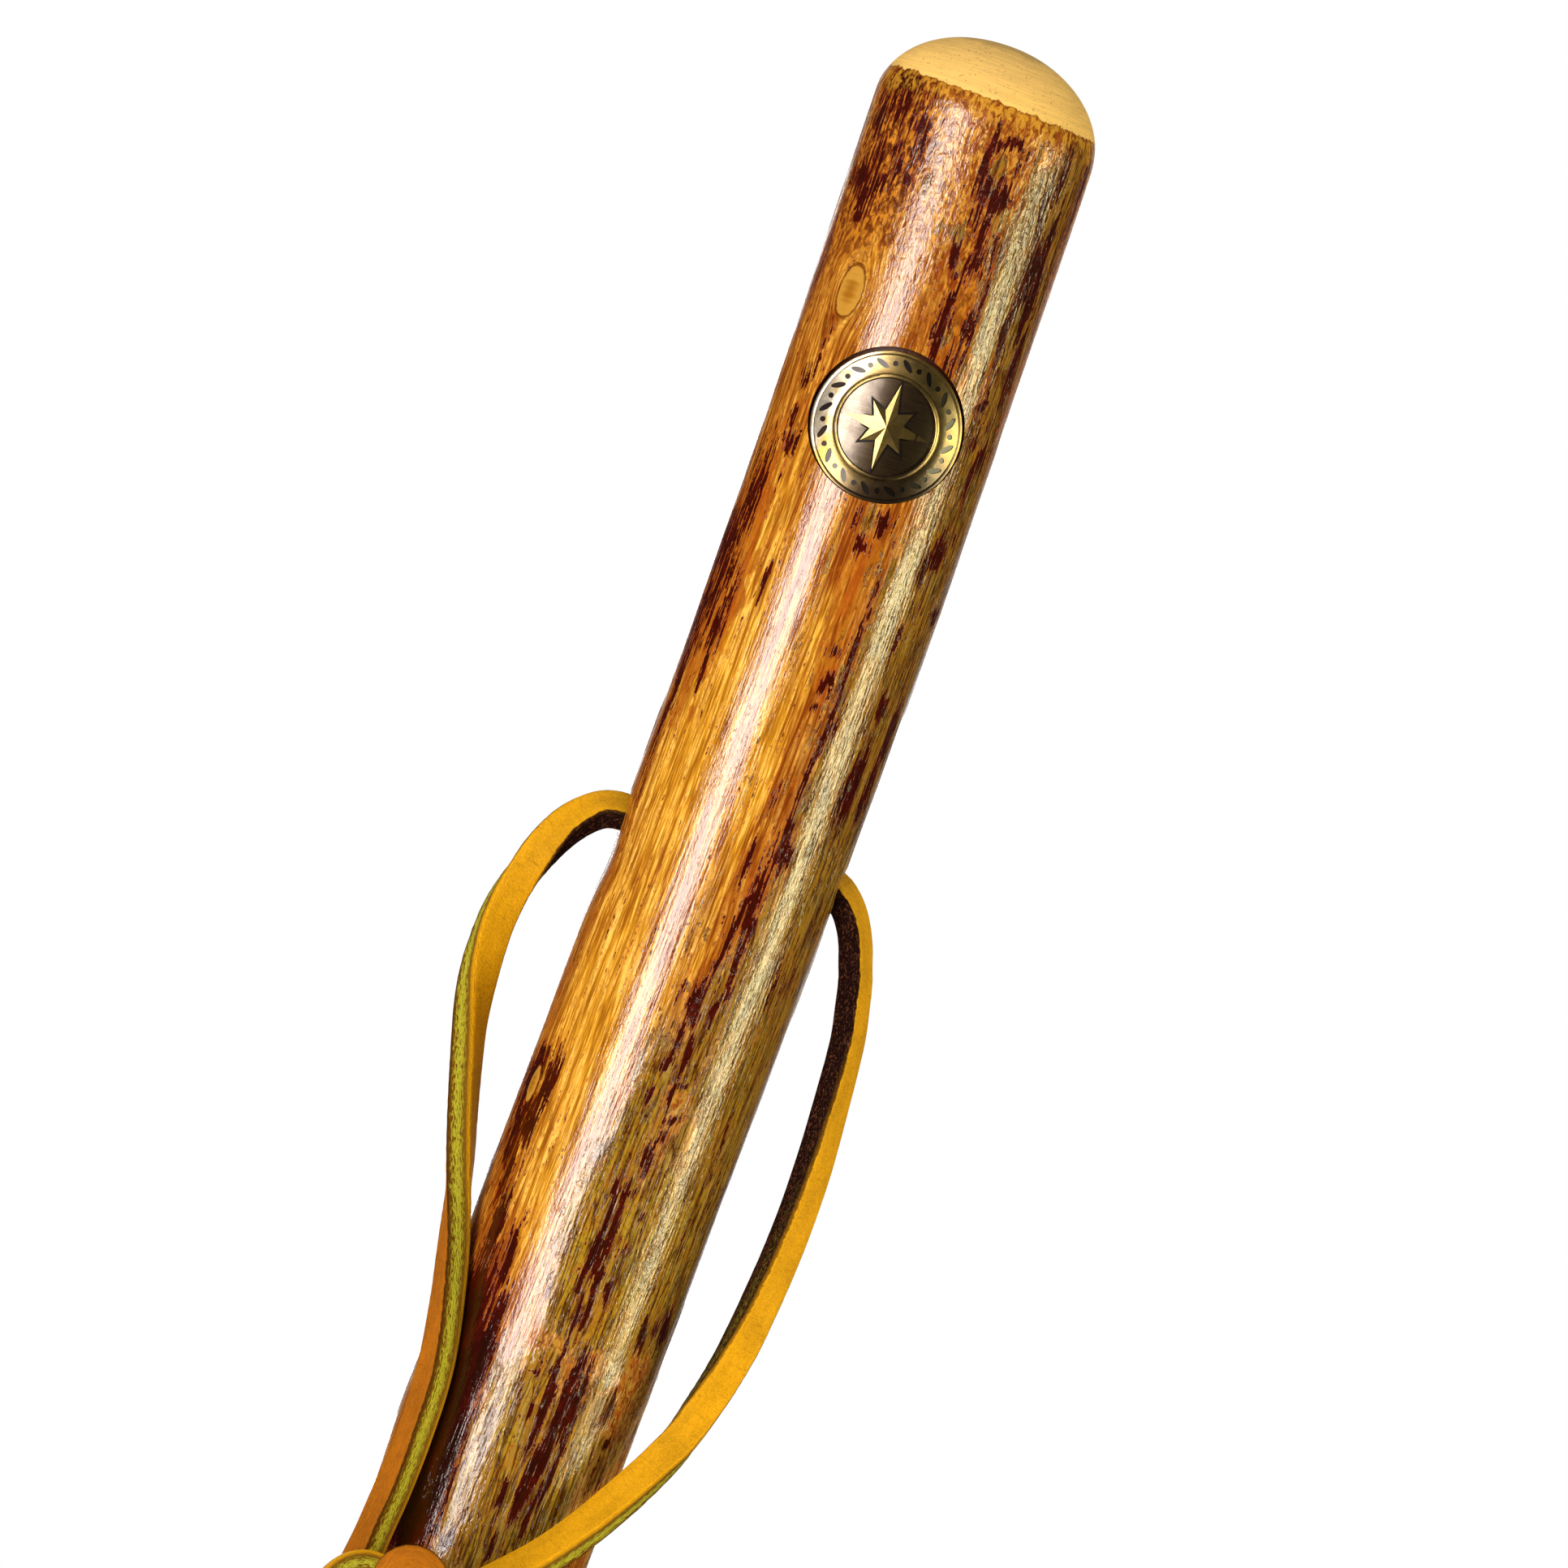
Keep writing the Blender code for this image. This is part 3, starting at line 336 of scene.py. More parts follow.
class Bench:
    """A material, or the world, under construction: its nodes and a material's Principled shader."""

    def __init__(self, name, owner=None, **levels):
        self.material = owner or bpy.data.materials.new(name)
        self.material.use_nodes = True
        self.tree = self.material.node_tree
        self.shader = self.tree.nodes.get("Principled BSDF")
        for socket, value in levels.items():
            self.shader.inputs[socket.replace("_", " ")].default_value = value

    def node(self, kind, settings=None, inputs=None):
        """A node of a kind, its settings first and then the values or wires of its sockets."""
        made = self.tree.nodes.new(kind)
        for key, value in (settings or {}).items():
            setattr(made, key, value)
        for key, value in (inputs or {}).items():
            self.plug(made.inputs[key], value)
        return made

    def wire(self, kind, output, inputs=None, **settings):
        """One output of a new node."""
        return Wire(self, self.node(kind, settings, inputs).outputs[output])

    def plug(self, socket, value):
        if isinstance(value, Wire):
            self.tree.links.new(value.socket, socket)
        else:
            socket.default_value = (*value[:3], 1.0) if socket.type == "RGBA" else value

    def show(self, node):
        """Makes a shader node the one that is seen."""
        self.tree.links.new(node.outputs[0], self.tree.nodes["Material Output"].inputs["Surface"])

    def maths(self, operation, first, second=0.0):
        return self.wire("ShaderNodeMath", 0, {0: first, 1: second}, operation=operation)

    def feed(self, **values):
        for socket, value in values.items():
            self.plug(self.shader.inputs[socket.replace("_", " ")], value)
        return self.material

    def place(self):
        """The position on the piece, in mm."""
        return self.stretch(self.wire("ShaderNodeTexCoord", "Object"), (1000.0, 1000.0, 1000.0))

    def along(self, vector, axis):
        return self.wire("ShaderNodeSeparateXYZ", axis, {0: vector})

    def attributes(self, *names):
        return [self.wire("ShaderNodeAttribute", "Fac", attribute_name=name) for name in names]

    def stretch(self, vector, by):
        return self.wire("ShaderNodeVectorMath", 0, {0: vector, 1: by}, operation="MULTIPLY")

    def speck(self, vector, across, along, low=0.38, high=0.62, detail=2.0, roughness=0.55, distortion=0.0, shift=0.0):
        """Noise from 0 to 1 whose features have a size across and along the staff."""
        spot = self.stretch(vector, (1.0 / across, 1.0 / across, 1.0 / along))
        if shift:
            spot = self.wire("ShaderNodeVectorMath", 0, {0: spot, 1: (shift, shift, shift)}, operation="ADD")
        inputs = {"Vector": spot, "Scale": 1.0, "Detail": detail, "Roughness": roughness, "Distortion": distortion}
        return self.spread(self.wire("ShaderNodeTexNoise", 0, inputs, noise_dimensions="3D"), low, high)

    def outline(self, vector, across, along, width, distortion, shift):
        """Thin wavering lines, 1 in their middle, whose meshes have a size across and along the staff."""
        even = self.speck(vector, across, along, 0.0, 1.0, 1.5, 0.5, distortion, shift)
        return self.spread(self.maths("ABSOLUTE", even - 0.5), 0.0, width, 1.0, 0.0)

    def spread(self, value, low, high, first=0.0, last=1.0):
        """A value's range from low to high spread out from first to last and held there."""
        inputs = {"Value": value, "From Min": low, "From Max": high, "To Min": first, "To Max": last}
        return self.wire("ShaderNodeMapRange", 0, inputs, clamp=True)

    def mix(self, first, second, share):
        return self.wire("ShaderNodeMix", 2, {0: share, 6: first, 7: second}, data_type="RGBA", clamp_factor=True)

    def layers(self, colour, *coats):
        """A colour with others laid over it, one after another, each with its share."""
        for coat, share in coats:
            colour = self.mix(colour, coat, share)
        return colour

    def bump(self, height, distance, strength):
        return self.wire("ShaderNodeBump", 0, {"Height": height, "Distance": distance, "Strength": strength})


def shade(colour, by):
    """A colour made lighter or darker."""
    return tuple(min(1.0, part * by) for part in colour[:3])


def grown(heights):
    """The branch's lean to the right, lean to the back and radius at heights, in metres, without its crown."""
    share = np.clip(heights / STAFF_LENGTH, 0.0, 1.0)
    last = len(GROWTH) - 1
    row = np.clip(np.searchsorted(GROWTH[:, 0], share) - 1, 0, last - 1)
    before, low, high, after = (GROWTH[np.clip(row + k, 0, last)] for k in (-1, 0, 1, 2))
    span = high[:, :1] - low[:, :1]
    t = (share[:, None] - low[:, :1]) / span
    leave = (high - before) / (high[:, :1] - before[:, :1]) * span
    arrive = (after - low) / (after[:, :1] - low[:, :1]) * span
    found = (2 * t**3 - 3 * t**2 + 1) * low + (t**3 - 2 * t**2 + t) * leave
    found = found + (3 * t**2 - 2 * t**3) * high + (t**3 - t**2) * arrive
    even = FOOT_WIDTH + (HEAD_WIDTH - FOOT_WIDTH) * share
    return found[:, 1], found[:, 2], (even + found[:, 3]) / 2


def shaft_point(below_crown):
    """The middle of the shaft and its radius at a distance below the crown, in metres."""
    height = STAFF_LENGTH - below_crown
    right, back, radius = grown(np.array([height]))
    return Vector((right[0], back[0], height)), float(radius[0])


def degrees_from(turn, degrees):
    """How far angles in radians are from one in degrees, in degrees either way round."""
    return (np.degrees(turn) - degrees + 180.0) % 360.0 - 180.0


def rumble(points, across, along, shift=0.0):
    """Smooth noise, about -1 to 1, at points in mm, with features of a size across and along the staff."""
    scaled = points / np.array((across, across, along)) + shift
    return np.array([noise.noise(point) for point in scaled.tolist()])


def step(value, low, high):
    """0 below low, 1 above high and smooth between them."""
    t = np.clip((value - low) / (high - low), 0.0, 1.0)
    return t * t * (3 - 2 * t)


def marked(rows, turn, below, least=0.6):
    """How strongly a group of marks covers each point, given its angle in radians and its depth in mm."""
    found = np.zeros(len(turn))
    for place, across, long, wide, amount in rows:
        angle = math.asin(max(-0.985, min(0.985, across / HEAD_RADIUS)))
        place += BULGE_SHIFT * (1 - place / VIEW_DEPTH) * math.cos(angle)
        wide = max(wide, least) / max(math.cos(angle), 0.35)
        near = np.abs(below - place) < 2.4 * long
        reach = ((below[near] - place) / long) ** 2 + ((turn[near] - angle) * HEAD_RADIUS / wide) ** 2
        found[near] = np.maximum(found[near], amount * np.exp(-0.7 * reach))
    return found


def nearest_knot(rows, turn, below, radius):
    """Distance from the nearest knot, where 1 is its rim."""
    found = np.full(len(turn), 9.0)
    for place, degrees, long, wide in rows:
        away = np.radians(degrees_from(turn, degrees)) * radius
        found = np.minimum(found, np.sqrt(((below - place) / long) ** 2 + (away / wide) ** 2))
    return found


def wood_fields(turn, below):
    """The wood's markings at points given by angle in radians and depth below the crown in mm."""
    radius = grown(STAFF_LENGTH - below * MM)[2] / MM
    points = np.stack((radius * np.sin(turn), -radius * np.cos(turn), below), axis=1)
    spots = (turn + 0.035 * rumble(points, 2.4, 8.0), below + 1.5 * rumble(points, 2.2, 6.0, 7.3))
    streaks = rumble(points, 1.7, 19.0, 3.1)
    clouds = rumble(points, 6.0, 42.0, 11.7)
    fine = rumble(points, 0.9, 7.0, 5.9)
    least_stain = -0.15 + 0.26 * step(np.sin(turn), 0.60, 0.75) + 0.4 * streaks + 0.2 * fine
    # Each marking twice: as it grew round the staff, and as the front of the head shows it
    markings = {
        "stain_and_shadow": (0.16 + 0.85 * streaks + 0.75 * clouds + 0.25 * fine,
                  np.maximum(marked(STAINS_AND_SHADOW, *spots, 0.42), least_stain)),
        "bark": (0.36 - 0.9 * clouds + 0.45 * rumble(points, 3.4, 24.0, 17.3) + 0.3 * streaks, marked(BARK, *spots)),
        "red": (0.22 + 0.9 * rumble(points, 4.2, 26.0, 23.9), marked(REDDENED, *spots)),
        "golden": (0.5 + 1.2 * rumble(points, 5.0, 60.0, 53.0), marked(GOLDEN, *spots)),
    }
    seen = step(np.cos(turn), 0.0, 0.3) * (1 - step(below, 238.0, 252.0))
    fields = {name: grew * (1 - seen) + shown * seen for name, (grew, shown) in markings.items()}
    whittled = below - WHITTLED_FOOT - 3.4 * np.cos(turn) - 1.5 * np.cos(3.0 * turn + 0.6)
    bare = whittled - 2.2 * rumble(points, 4.0, 6.0, 71.0)
    for place, degrees, long, wide in BARE_PATCHES:
        reach = np.sqrt(((below - place) / long) ** 2 + (degrees_from(turn, degrees) / wide) ** 2)
        bare = np.maximum(bare, (1 - reach) * min(long, wide * 0.28))
    edge = SANDED_CROWN + 0.5 * np.sin(turn) + 0.9 * np.cos(turn)
    return fields | {
        "points": points,
        "bare": np.maximum(bare, -9.0),
        "crown": edge + 0.55 * rumble(points, 1.1, 1.1, 31.0) - below,
        "eye": nearest_knot(EYES, turn, below, radius),
        "knot": nearest_knot(DARK_KNOTS, turn, below, radius),
        "mottle": 1 - step(below, 22.0, 60.0),
    }


def shaft_depths():
    """Depths below the crown of the shaft's rings, in mm: close at the crown, the head and the knots."""
    crown, rings = 14.8, 26
    depths = [crown * (1 - math.cos(math.pi / 2 * k / rings)) for k in range(rings + 1)]
    foot = (STAFF_LENGTH - SHAFT_FOOT) / MM
    while depths[-1] < foot:
        at = depths[-1]
        fine = any(abs(at - knot[0]) < 16 for knot in DARK_KNOTS) or abs(at - WHITTLED_FOOT - 6.5) < 8
        spacing = 0.95 if at < 250 else 1.3 if fine else 4.1
        depths.append(min(at + spacing, foot))
    return np.array(depths)


def surface(turn, below):
    """Points on the branch's surface in metres, with its crown, knots, bark and unevenness."""
    look = bpy.context.scene.staff_wood
    fields = wood_fields(turn, below)
    points, bare, eye, knot = (fields[name] for name in ("points", "bare", "eye", "knot"))
    right, back, radius = grown(STAFF_LENGTH - below * MM)
    for place, degrees, high, long, wide in SWELLINGS:
        along = (below - place) / long
        radius += high * MM * np.exp(-(along**2) - (degrees_from(turn, degrees) / wide) ** 2)
    barked = step(fields["bark"], 0.36, 0.50) * (1 - step(bare, -0.5, 0.5))
    lumps = rumble(points, 7.0, 22.0, 41.0) + 0.35 * rumble(points, 2.6, 8.0, 43.0)
    relief = look.lump_height * lumps + look.plate_height * barked - STAIN_SINK * step(fields["stain_and_shadow"], 0.38, 0.60)
    node = np.exp(-(((below - NODE - 1.2 * rumble(points, 4.0, 4.0, 47.0)) / 2.8) ** 2))
    node = node * step(np.cos(turn), -0.2, 0.4)
    relief += NODE_RISE * node * (1 + 0.8 * rumble(points, 1.6, 1.2, 61.0))
    relief -= KNOT_SINK * step(1 - knot, -0.15, 0.1)
    relief += EYE_RISE * step(1 - eye, -0.2, 0.1) - EYE_GROOVE * np.exp(-(((eye - 1) / 0.12) ** 2))
    relief -= PATCH_SINK * step(bare, -0.6, 0.6) * (knot > 1)
    radius = radius + relief * step(-fields["crown"], -0.5, 3.0)
    # The head rounds off in a quarter of an ellipse, a little fuller at its left
    share = np.clip(below / (ROUNDED_HEAD + 0.9 * np.sin(turn)), 0.0, 1.0)
    fuller = 0.025 * (1 - np.sin(turn)) * (1 - share)
    radius = radius * (2 * share - share**2) ** (0.5 - fuller)
    return np.stack(
        (right + radius * np.sin(turn), back - radius * np.cos(turn), STAFF_LENGTH - below * MM), axis=1)


def alone(*items):
    """Makes objects the only selected ones and the first of them the active one."""
    bpy.ops.object.select_all(action="DESELECT")
    for item in items:
        item.select_set(True)
    bpy.context.view_layer.objects.active = items[0]


def joined(name, parts):
    """Several objects made one."""
    alone(*parts)
    bpy.ops.object.join()
    return added(name)


def added(name):
    """The object that was made last, with a name."""
    item = bpy.context.active_object
    item.name = item.data.name = name
    return item


def edit():
    """Opens the active mesh in edit mode with all of it selected."""
    bpy.ops.object.mode_set(mode="EDIT")
    bpy.ops.mesh.select_all(action="SELECT")


def stored(mesh, name, values, kind="FLOAT"):
    """Keeps a number or a vector for each point of a mesh."""
    field = "value" if kind == "FLOAT" else "vector"
    mesh.attributes.new(name, kind, "POINT").data.foreach_set(field, np.asarray(values, dtype=np.float32).ravel())


def settled(item, angle=40.0):
    """Puts a piece's place into its mesh, points its faces outwards and shades it smooth between sharp edges."""
    alone(item)
    bpy.ops.object.transform_apply(location=True, rotation=True, scale=True)
    edit()
    bpy.ops.mesh.remove_doubles(threshold=0.000004)
    bpy.ops.mesh.normals_make_consistent(inside=False)
    bpy.ops.object.mode_set(mode="OBJECT")
    bpy.ops.object.shade_smooth_by_angle(angle=math.radians(angle))
    return item


def finished(item, finish, body, slot, *nodes):
    """Gives a piece its material, the body that carries it and the nodes that it stands for; its slot is not used."""
    item.data.materials.clear()
    item.data.materials.append(finish)
    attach(item, body)
    if nodes:
        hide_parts(*nodes)


def carved(item, tool):
    """Cuts a tool's shape out of a piece and removes the tool."""
    alone(item)
    knife = item.modifiers.new("Cut", "BOOLEAN")
    knife.operation, knife.solver, knife.object = "DIFFERENCE", "EXACT", tool
    bpy.ops.object.modifier_apply(modifier=knife.name)
    bpy.data.objects.remove(tool)


def raised(name, profile, sides):
    """A turned piece: a ring pulled up and widened from one point of its profile to the next, poles closed."""
    profile = [(max(wide, 1e-7), high) for wide, high in profile]
    radius, height = profile[0]
    bpy.ops.object.select_all(action="DESELECT")
    bpy.ops.mesh.primitive_circle_add(vertices=sides, radius=radius, location=(0, 0, height))
    item = added(name)
    edit()
    for wide, high in profile[1:]:
        grow = wide / radius
        bpy.ops.mesh.extrude_region_move(TRANSFORM_OT_translate={"value": (0, 0, high - height)})
        bpy.ops.transform.resize(value=(grow, grow, 1), center_override=(0, 0, high))
        radius, height = wide, high
    bpy.ops.object.mode_set(mode="OBJECT")
    return settled(item)


def bent_to_shaft(item, right):
    """Lays a piece drawn flat about Z on the shaft's front where the medallion is."""
    centre, radius = shaft_point(bpy.context.scene.staff_medallion.below_crown)
    for vertex in item.data.vertices:
        across, along, outwards = vertex.co
        drop = radius - math.sqrt(radius**2 - (across + right) ** 2)
        vertex.co = centre + Vector((across + right, drop - outwards - radius, along))
    item.data.update()
    return item


def varnished_wood():
    """Amber wood under gloss varnish, with islands of inner bark, dark streaks and bare patches."""
    look = bpy.context.scene.staff_wood
    amber, amber_light, amber_dark, red_wood = look.amber, look.amber_light, look.amber_dark, look.red_wood
    b = Bench("varnished_hardwood", IOR=1.68)
    spot = b.wire("ShaderNodeAttribute", "Vector", attribute_name="grain")
    stain_and_shadow, bark, red, bare, crown = b.attributes("stain_and_shadow", "bark", "red", "bare", "crown")
    golden, eye, knot, mottle, cut = b.attributes("golden", "eye", "knot", "mottle", "cut")
    streak = b.speck(spot, 1.0, 15.0, detail=3.0, roughness=0.62)
    thread = b.speck(spot, 0.40, 8.5, roughness=0.6, shift=3.7)
    cloud = b.speck(spot, 5.0, 20.0, shift=9.1)
    dash = b.speck(spot, 0.62, 2.6, 0.40, 0.60, shift=5.2)
    grit = b.speck(spot, 0.50, 0.8, 0.36, 0.64, detail=3.0, roughness=0.62, shift=1.9)
    blot = b.speck(spot, 1.7, 3.8, detail=4.0, roughness=0.62, shift=14.2)
    flake = b.speck(spot, 0.75, 1.5, 0.42, 0.58, detail=1.5, roughness=0.5, distortion=0.5, shift=33.0)
    wrinkle = b.speck(spot, 0.75, 1.5, 0.30, 0.70, roughness=0.5, distortion=0.6, shift=40.0)
    marble = b.speck(spot, 2.6, 8.0, 0.40, 0.60, detail=3.0, distortion=1.0, shift=50.0)
    plates = b.outline(spot, 1.5, 3.2, 0.045, 1.2, 21.0)
    furrow = b.outline(spot, 0.8, 12.0, 0.075, 0.4, 27.0)
    below = b.along(spot, "Z")
    lower = b.spread(below, 245.0, 330.0)
    foot = b.spread(below + (cloud - 0.5) * 40.0, 1060.0, 1130.0)

    clean = b.layers(
        look.golden,
        ((1.0, 0.58, 0.11), b.spread(thread * 0.65 + streak * 0.35, 0.45, 0.95)),
        ((0.34, 0.125, 0.006), b.spread(thread * 0.75 + streak * 0.25, 0.48, 0.12, 0.0, 0.9)))
    flecked = b.mix((0.055, 0.004, 0.001), shade(amber, 1.15), flake)
    reddened = b.mix(b.mix(red_wood, shade(amber, 0.85), streak * 0.7 + blot * 0.3), flecked, mottle * 0.85 + 0.1)
    ochre = b.mix((0.26, 0.070, 0.004), (0.80, 0.38, 0.030), marble * 0.6 + thread * 0.25 + streak * 0.15)
    tan = b.spread(bark + (thread - 0.5) * 0.3, 0.15, 0.5) * b.spread(below, 60.0, 80.0)
    near_bare = b.spread(bare + (cloud - 0.5) * 4.0 + (streak - 0.5) * 3.0, -5.0, -2.0) * (1 - foot)
    smooth = b.mix((0.30, 0.095, 0.008), (0.66, 0.31, 0.055), thread * 0.55 + streak * 0.3 + cloud * 0.15)
    wood = b.layers(
        amber_dark,
        (amber, streak * 0.6 + cloud * 0.4),
        (amber_light, b.spread(thread, 0.55, 1.0) * (cloud * 0.5 + 0.45)),
        (shade(amber_dark, 0.75), b.spread(thread, 0.48, 0.05, 0.0, 0.9)),
        (clean, b.spread(golden + (streak - 0.5) * 0.5, 0.25, 0.75)),
        (shade(amber_light, 0.9), mottle * b.spread(flake * 0.6 + grit * 0.4, 0.35, 0.8, 0.0, 0.6)),
        (shade(amber_dark, 1.1), mottle * b.spread(flake * 0.7 + dash * 0.3, 0.4, 0.1, 0.0, 0.7)),
        (b.mix(ochre, (0.12, 0.036, 0.003), foot * 0.8), lower * 0.85),
        (reddened, b.spread(red + (blot - 0.5) * 0.5, 0.30, 0.55, 0.0, 0.92) * (1 - lower * 0.55)),
        (b.mix((0.40, 0.20, 0.035), (0.62, 0.36, 0.09), thread), tan * 0.8),
        (shade(amber_dark, 0.45), plates * (mottle * 0.75 + 0.12) + furrow * (0.34 - mottle * 0.2)),
        (smooth, near_bare * 0.9))

    ragged_bark = bark - near_bare - lower * 0.10 + foot * 0.12 + (blot - 0.5) * 0.34
    ragged_bark = ragged_bark + (streak - 0.5) * 0.34 + (grit - 0.5) * 0.16
    barked = b.spread(ragged_bark, 0.43, 0.47)
    bark_rim = b.spread(ragged_bark, 0.35, 0.42) - barked
    plain = b.layers(
        look.khaki, (look.khaki_light, b.spread(below, 150.0, 190.0)), (look.khaki_grey, b.spread(below, 240.0, 330.0)))
    ripe = b.layers(
        shade(red_wood, 0.8), (shade(amber_light, 0.55), flake * 0.7 + grit * 0.5), (shade(amber_dark, 0.5), plates))
    cracks = b.spread(streak * 0.35 + thread * 0.65, 0.30, 0.20)
    khaki = b.layers(
        b.mix(plain, (0.0, 0.0, 0.0), 0.3),
        (b.mix(plain, (0.62, 0.37, 0.03), 0.3), grit * 0.4 + cloud * 0.4 + thread * 0.2),
        (shade(amber, 0.8), b.spread(blot, 0.62, 0.95, 0.0, 0.65)),
        (shade(amber_dark, 0.5), cracks * 0.9),
        (b.mix(plain, (0.0, 0.0, 0.0), 0.7), b.spread(thread * 0.6 + grit * 0.4, 0.50, 0.2, 0.0, 0.85)),
        (b.mix((0.36, 0.28, 0.09), plain, 0.4), b.spread(streak, 0.75, 0.95) * 0.6),
        ((0.30, 0.135, 0.010), b.spread(cloud * 0.6 + blot * 0.4, 0.45, 0.70, 0.0, 0.6)),
        (shade(amber_dark, 0.22), furrow * 0.95 + plates * 0.35),
        (ripe, b.spread(red + (blot - 0.5) * 0.4, 0.55, 0.75, 0.0, 0.95)),
        (b.mix((0.17, 0.075, 0.007), (0.055, 0.022, 0.003), marble), foot * 0.9))

    ragged_stain_and_shadow = stain_and_shadow - near_bare * 0.7 - lower * 0.16 + foot * 0.10
    ragged_stain_and_shadow = ragged_stain_and_shadow + (thread - 0.5) * 0.60 + (dash - 0.5) * 0.24 + (grit - 0.5) * 0.26
    halo, stained_and_shaded = b.spread(ragged_stain_and_shadow, 0.22, 0.46), b.spread(ragged_stain_and_shadow, 0.45, 0.49)
    # Dark stains, and below the node at the left painted shadow under the lace
    dark = b.layers(
        look.stain_and_shadow,
        (shade(look.stain_and_shadow, 3.0), grit * blot),
        ((0.006, 0.0008, 0.0004), b.spread(stain_and_shadow, 0.85, 1.35, 0.0, 0.85)))

    teeth = (streak - 0.5) * 2.0 + (thread - 0.5) * 1.4 + (blot - 0.5) * 1.6
    peeled = b.spread(bare + teeth, -0.12, 0.12)
    big = DARK_KNOTS[0][0]
    ring_wave = b.maths("SINE", knot * 13.0 + streak * 2.0 + thread * 1.5)
    rippled = b.spread(ring_wave, -0.2, 0.8) * b.spread(knot, 6.5, 2.2) * b.spread(knot, 1.3, 2.2)
    rippled = rippled * b.spread(below, big + 15.0, big - 7.0, 0.3, 1.0)
    patch = b.mix((0.62, 0.34, 0.085), (0.84, 0.54, 0.18), thread * 0.55 + cloud * 0.45)
    whittled = b.mix((0.20, 0.055, 0.004), (0.62, 0.265, 0.040), thread * 0.5 + streak * 0.5)
    topped = b.spread(crown + (grit - 0.5) * 0.25, -0.07, 0.07)
    line = b.spread(crown + (grit - 0.5) * 0.3, -0.42, -0.12) - topped
    shoulder = b.spread(crown + (blot - 0.5) * 3.0, -3.6, -1.2) * b.spread(flake + grit, 0.5, 1.3)
    growth = b.speck(spot, 6.0, 0.28, 0.42, 0.60, shift=2.2)
    flecks = b.speck(spot, 0.5, 0.3, 0.66, 0.70, detail=1.0, shift=6.6)
    end_grain = b.layers(
        shade(look.pale, 1.06),
        (shade(look.pale, 0.82), growth * 0.6),
        (shade(amber_dark, 1.2), flecks * 0.5),
        # Painted shade: the very top of the crown darker, as its far side
        (shade(look.pale, 0.66), b.spread(below + (cloud - 0.5) * 0.8, 1.9, 1.3) * 0.7))

    eye_edge, knot_edge = eye + (grit - 0.5) * 0.06, knot + (grit - 0.5) * 0.14
    eye_heart = b.mix(shade(amber_light, 0.62), shade(amber, 0.62), b.spread(eye_edge + grit * 0.25, 0.85, 0.3))
    heart_crack = b.spread(b.maths("ABSOLUTE", below - grit * 0.3 - (big + 0.1)), 0.10, 0.22)
    colour = b.layers(
        wood,
        (khaki, barked),
        ((0.075, 0.010, 0.002), bark_rim * 0.8),
        (shade(red_wood, 0.8), halo * (1 - barked * 0.5) * 0.8),
        (dark, stained_and_shaded * 0.98),
        ((0.62, 0.29, 0.018), shoulder * 0.75),
        (shade(amber_dark, 0.7), line * 0.55),
        (b.mix(b.mix(patch, (0.95, 0.74, 0.36), rippled * 0.7), whittled, foot), peeled),
        (end_grain, topped),
        (eye_heart, b.spread(eye_edge, 1.04, 0.98) * 0.92),
        (shade(amber_dark, 0.45), (b.spread(eye_edge, 1.16, 1.08) - b.spread(eye_edge, 1.03, 0.95)) * 0.8),
        ((0.36, 0.15, 0.020), b.spread(knot_edge + (cloud - 0.5) * 0.5, 2.5, 1.05) * 0.7),
        (b.mix((0.035, 0.008, 0.003), (0.15, 0.050, 0.018), grit), b.spread(knot_edge, 1.04, 0.98)),
        (shade(look.pale, 0.9), b.spread(knot_edge, 0.50, 0.46) * heart_crack),
        # Painted shade: dark inside the medallion's recess and the lace's bore
        (shade(amber_dark, 0.5), cut * 0.9))

    height = barked * 0.45 + grit * 0.22 + thread * 0.22 + streak * 0.12 - stained_and_shaded * 0.2
    height = height + wrinkle * (mottle * 0.75 + barked * 0.25 + 0.2)
    wood_only = 1 - b.spread(peeled + topped, 0.0, 1.0)
    height = height * (wood_only * 0.75 + 0.25) - cracks * barked * 0.6
    roughness = 0.065 + barked * 0.01 + grit * 0.02 + mottle * 0.10 + topped * 0.30 + peeled * 0.06 + cut * 0.3
    return b.feed(Base_Color=colour, Roughness=roughness, Normal=b.bump(height, 0.00007, 0.8))


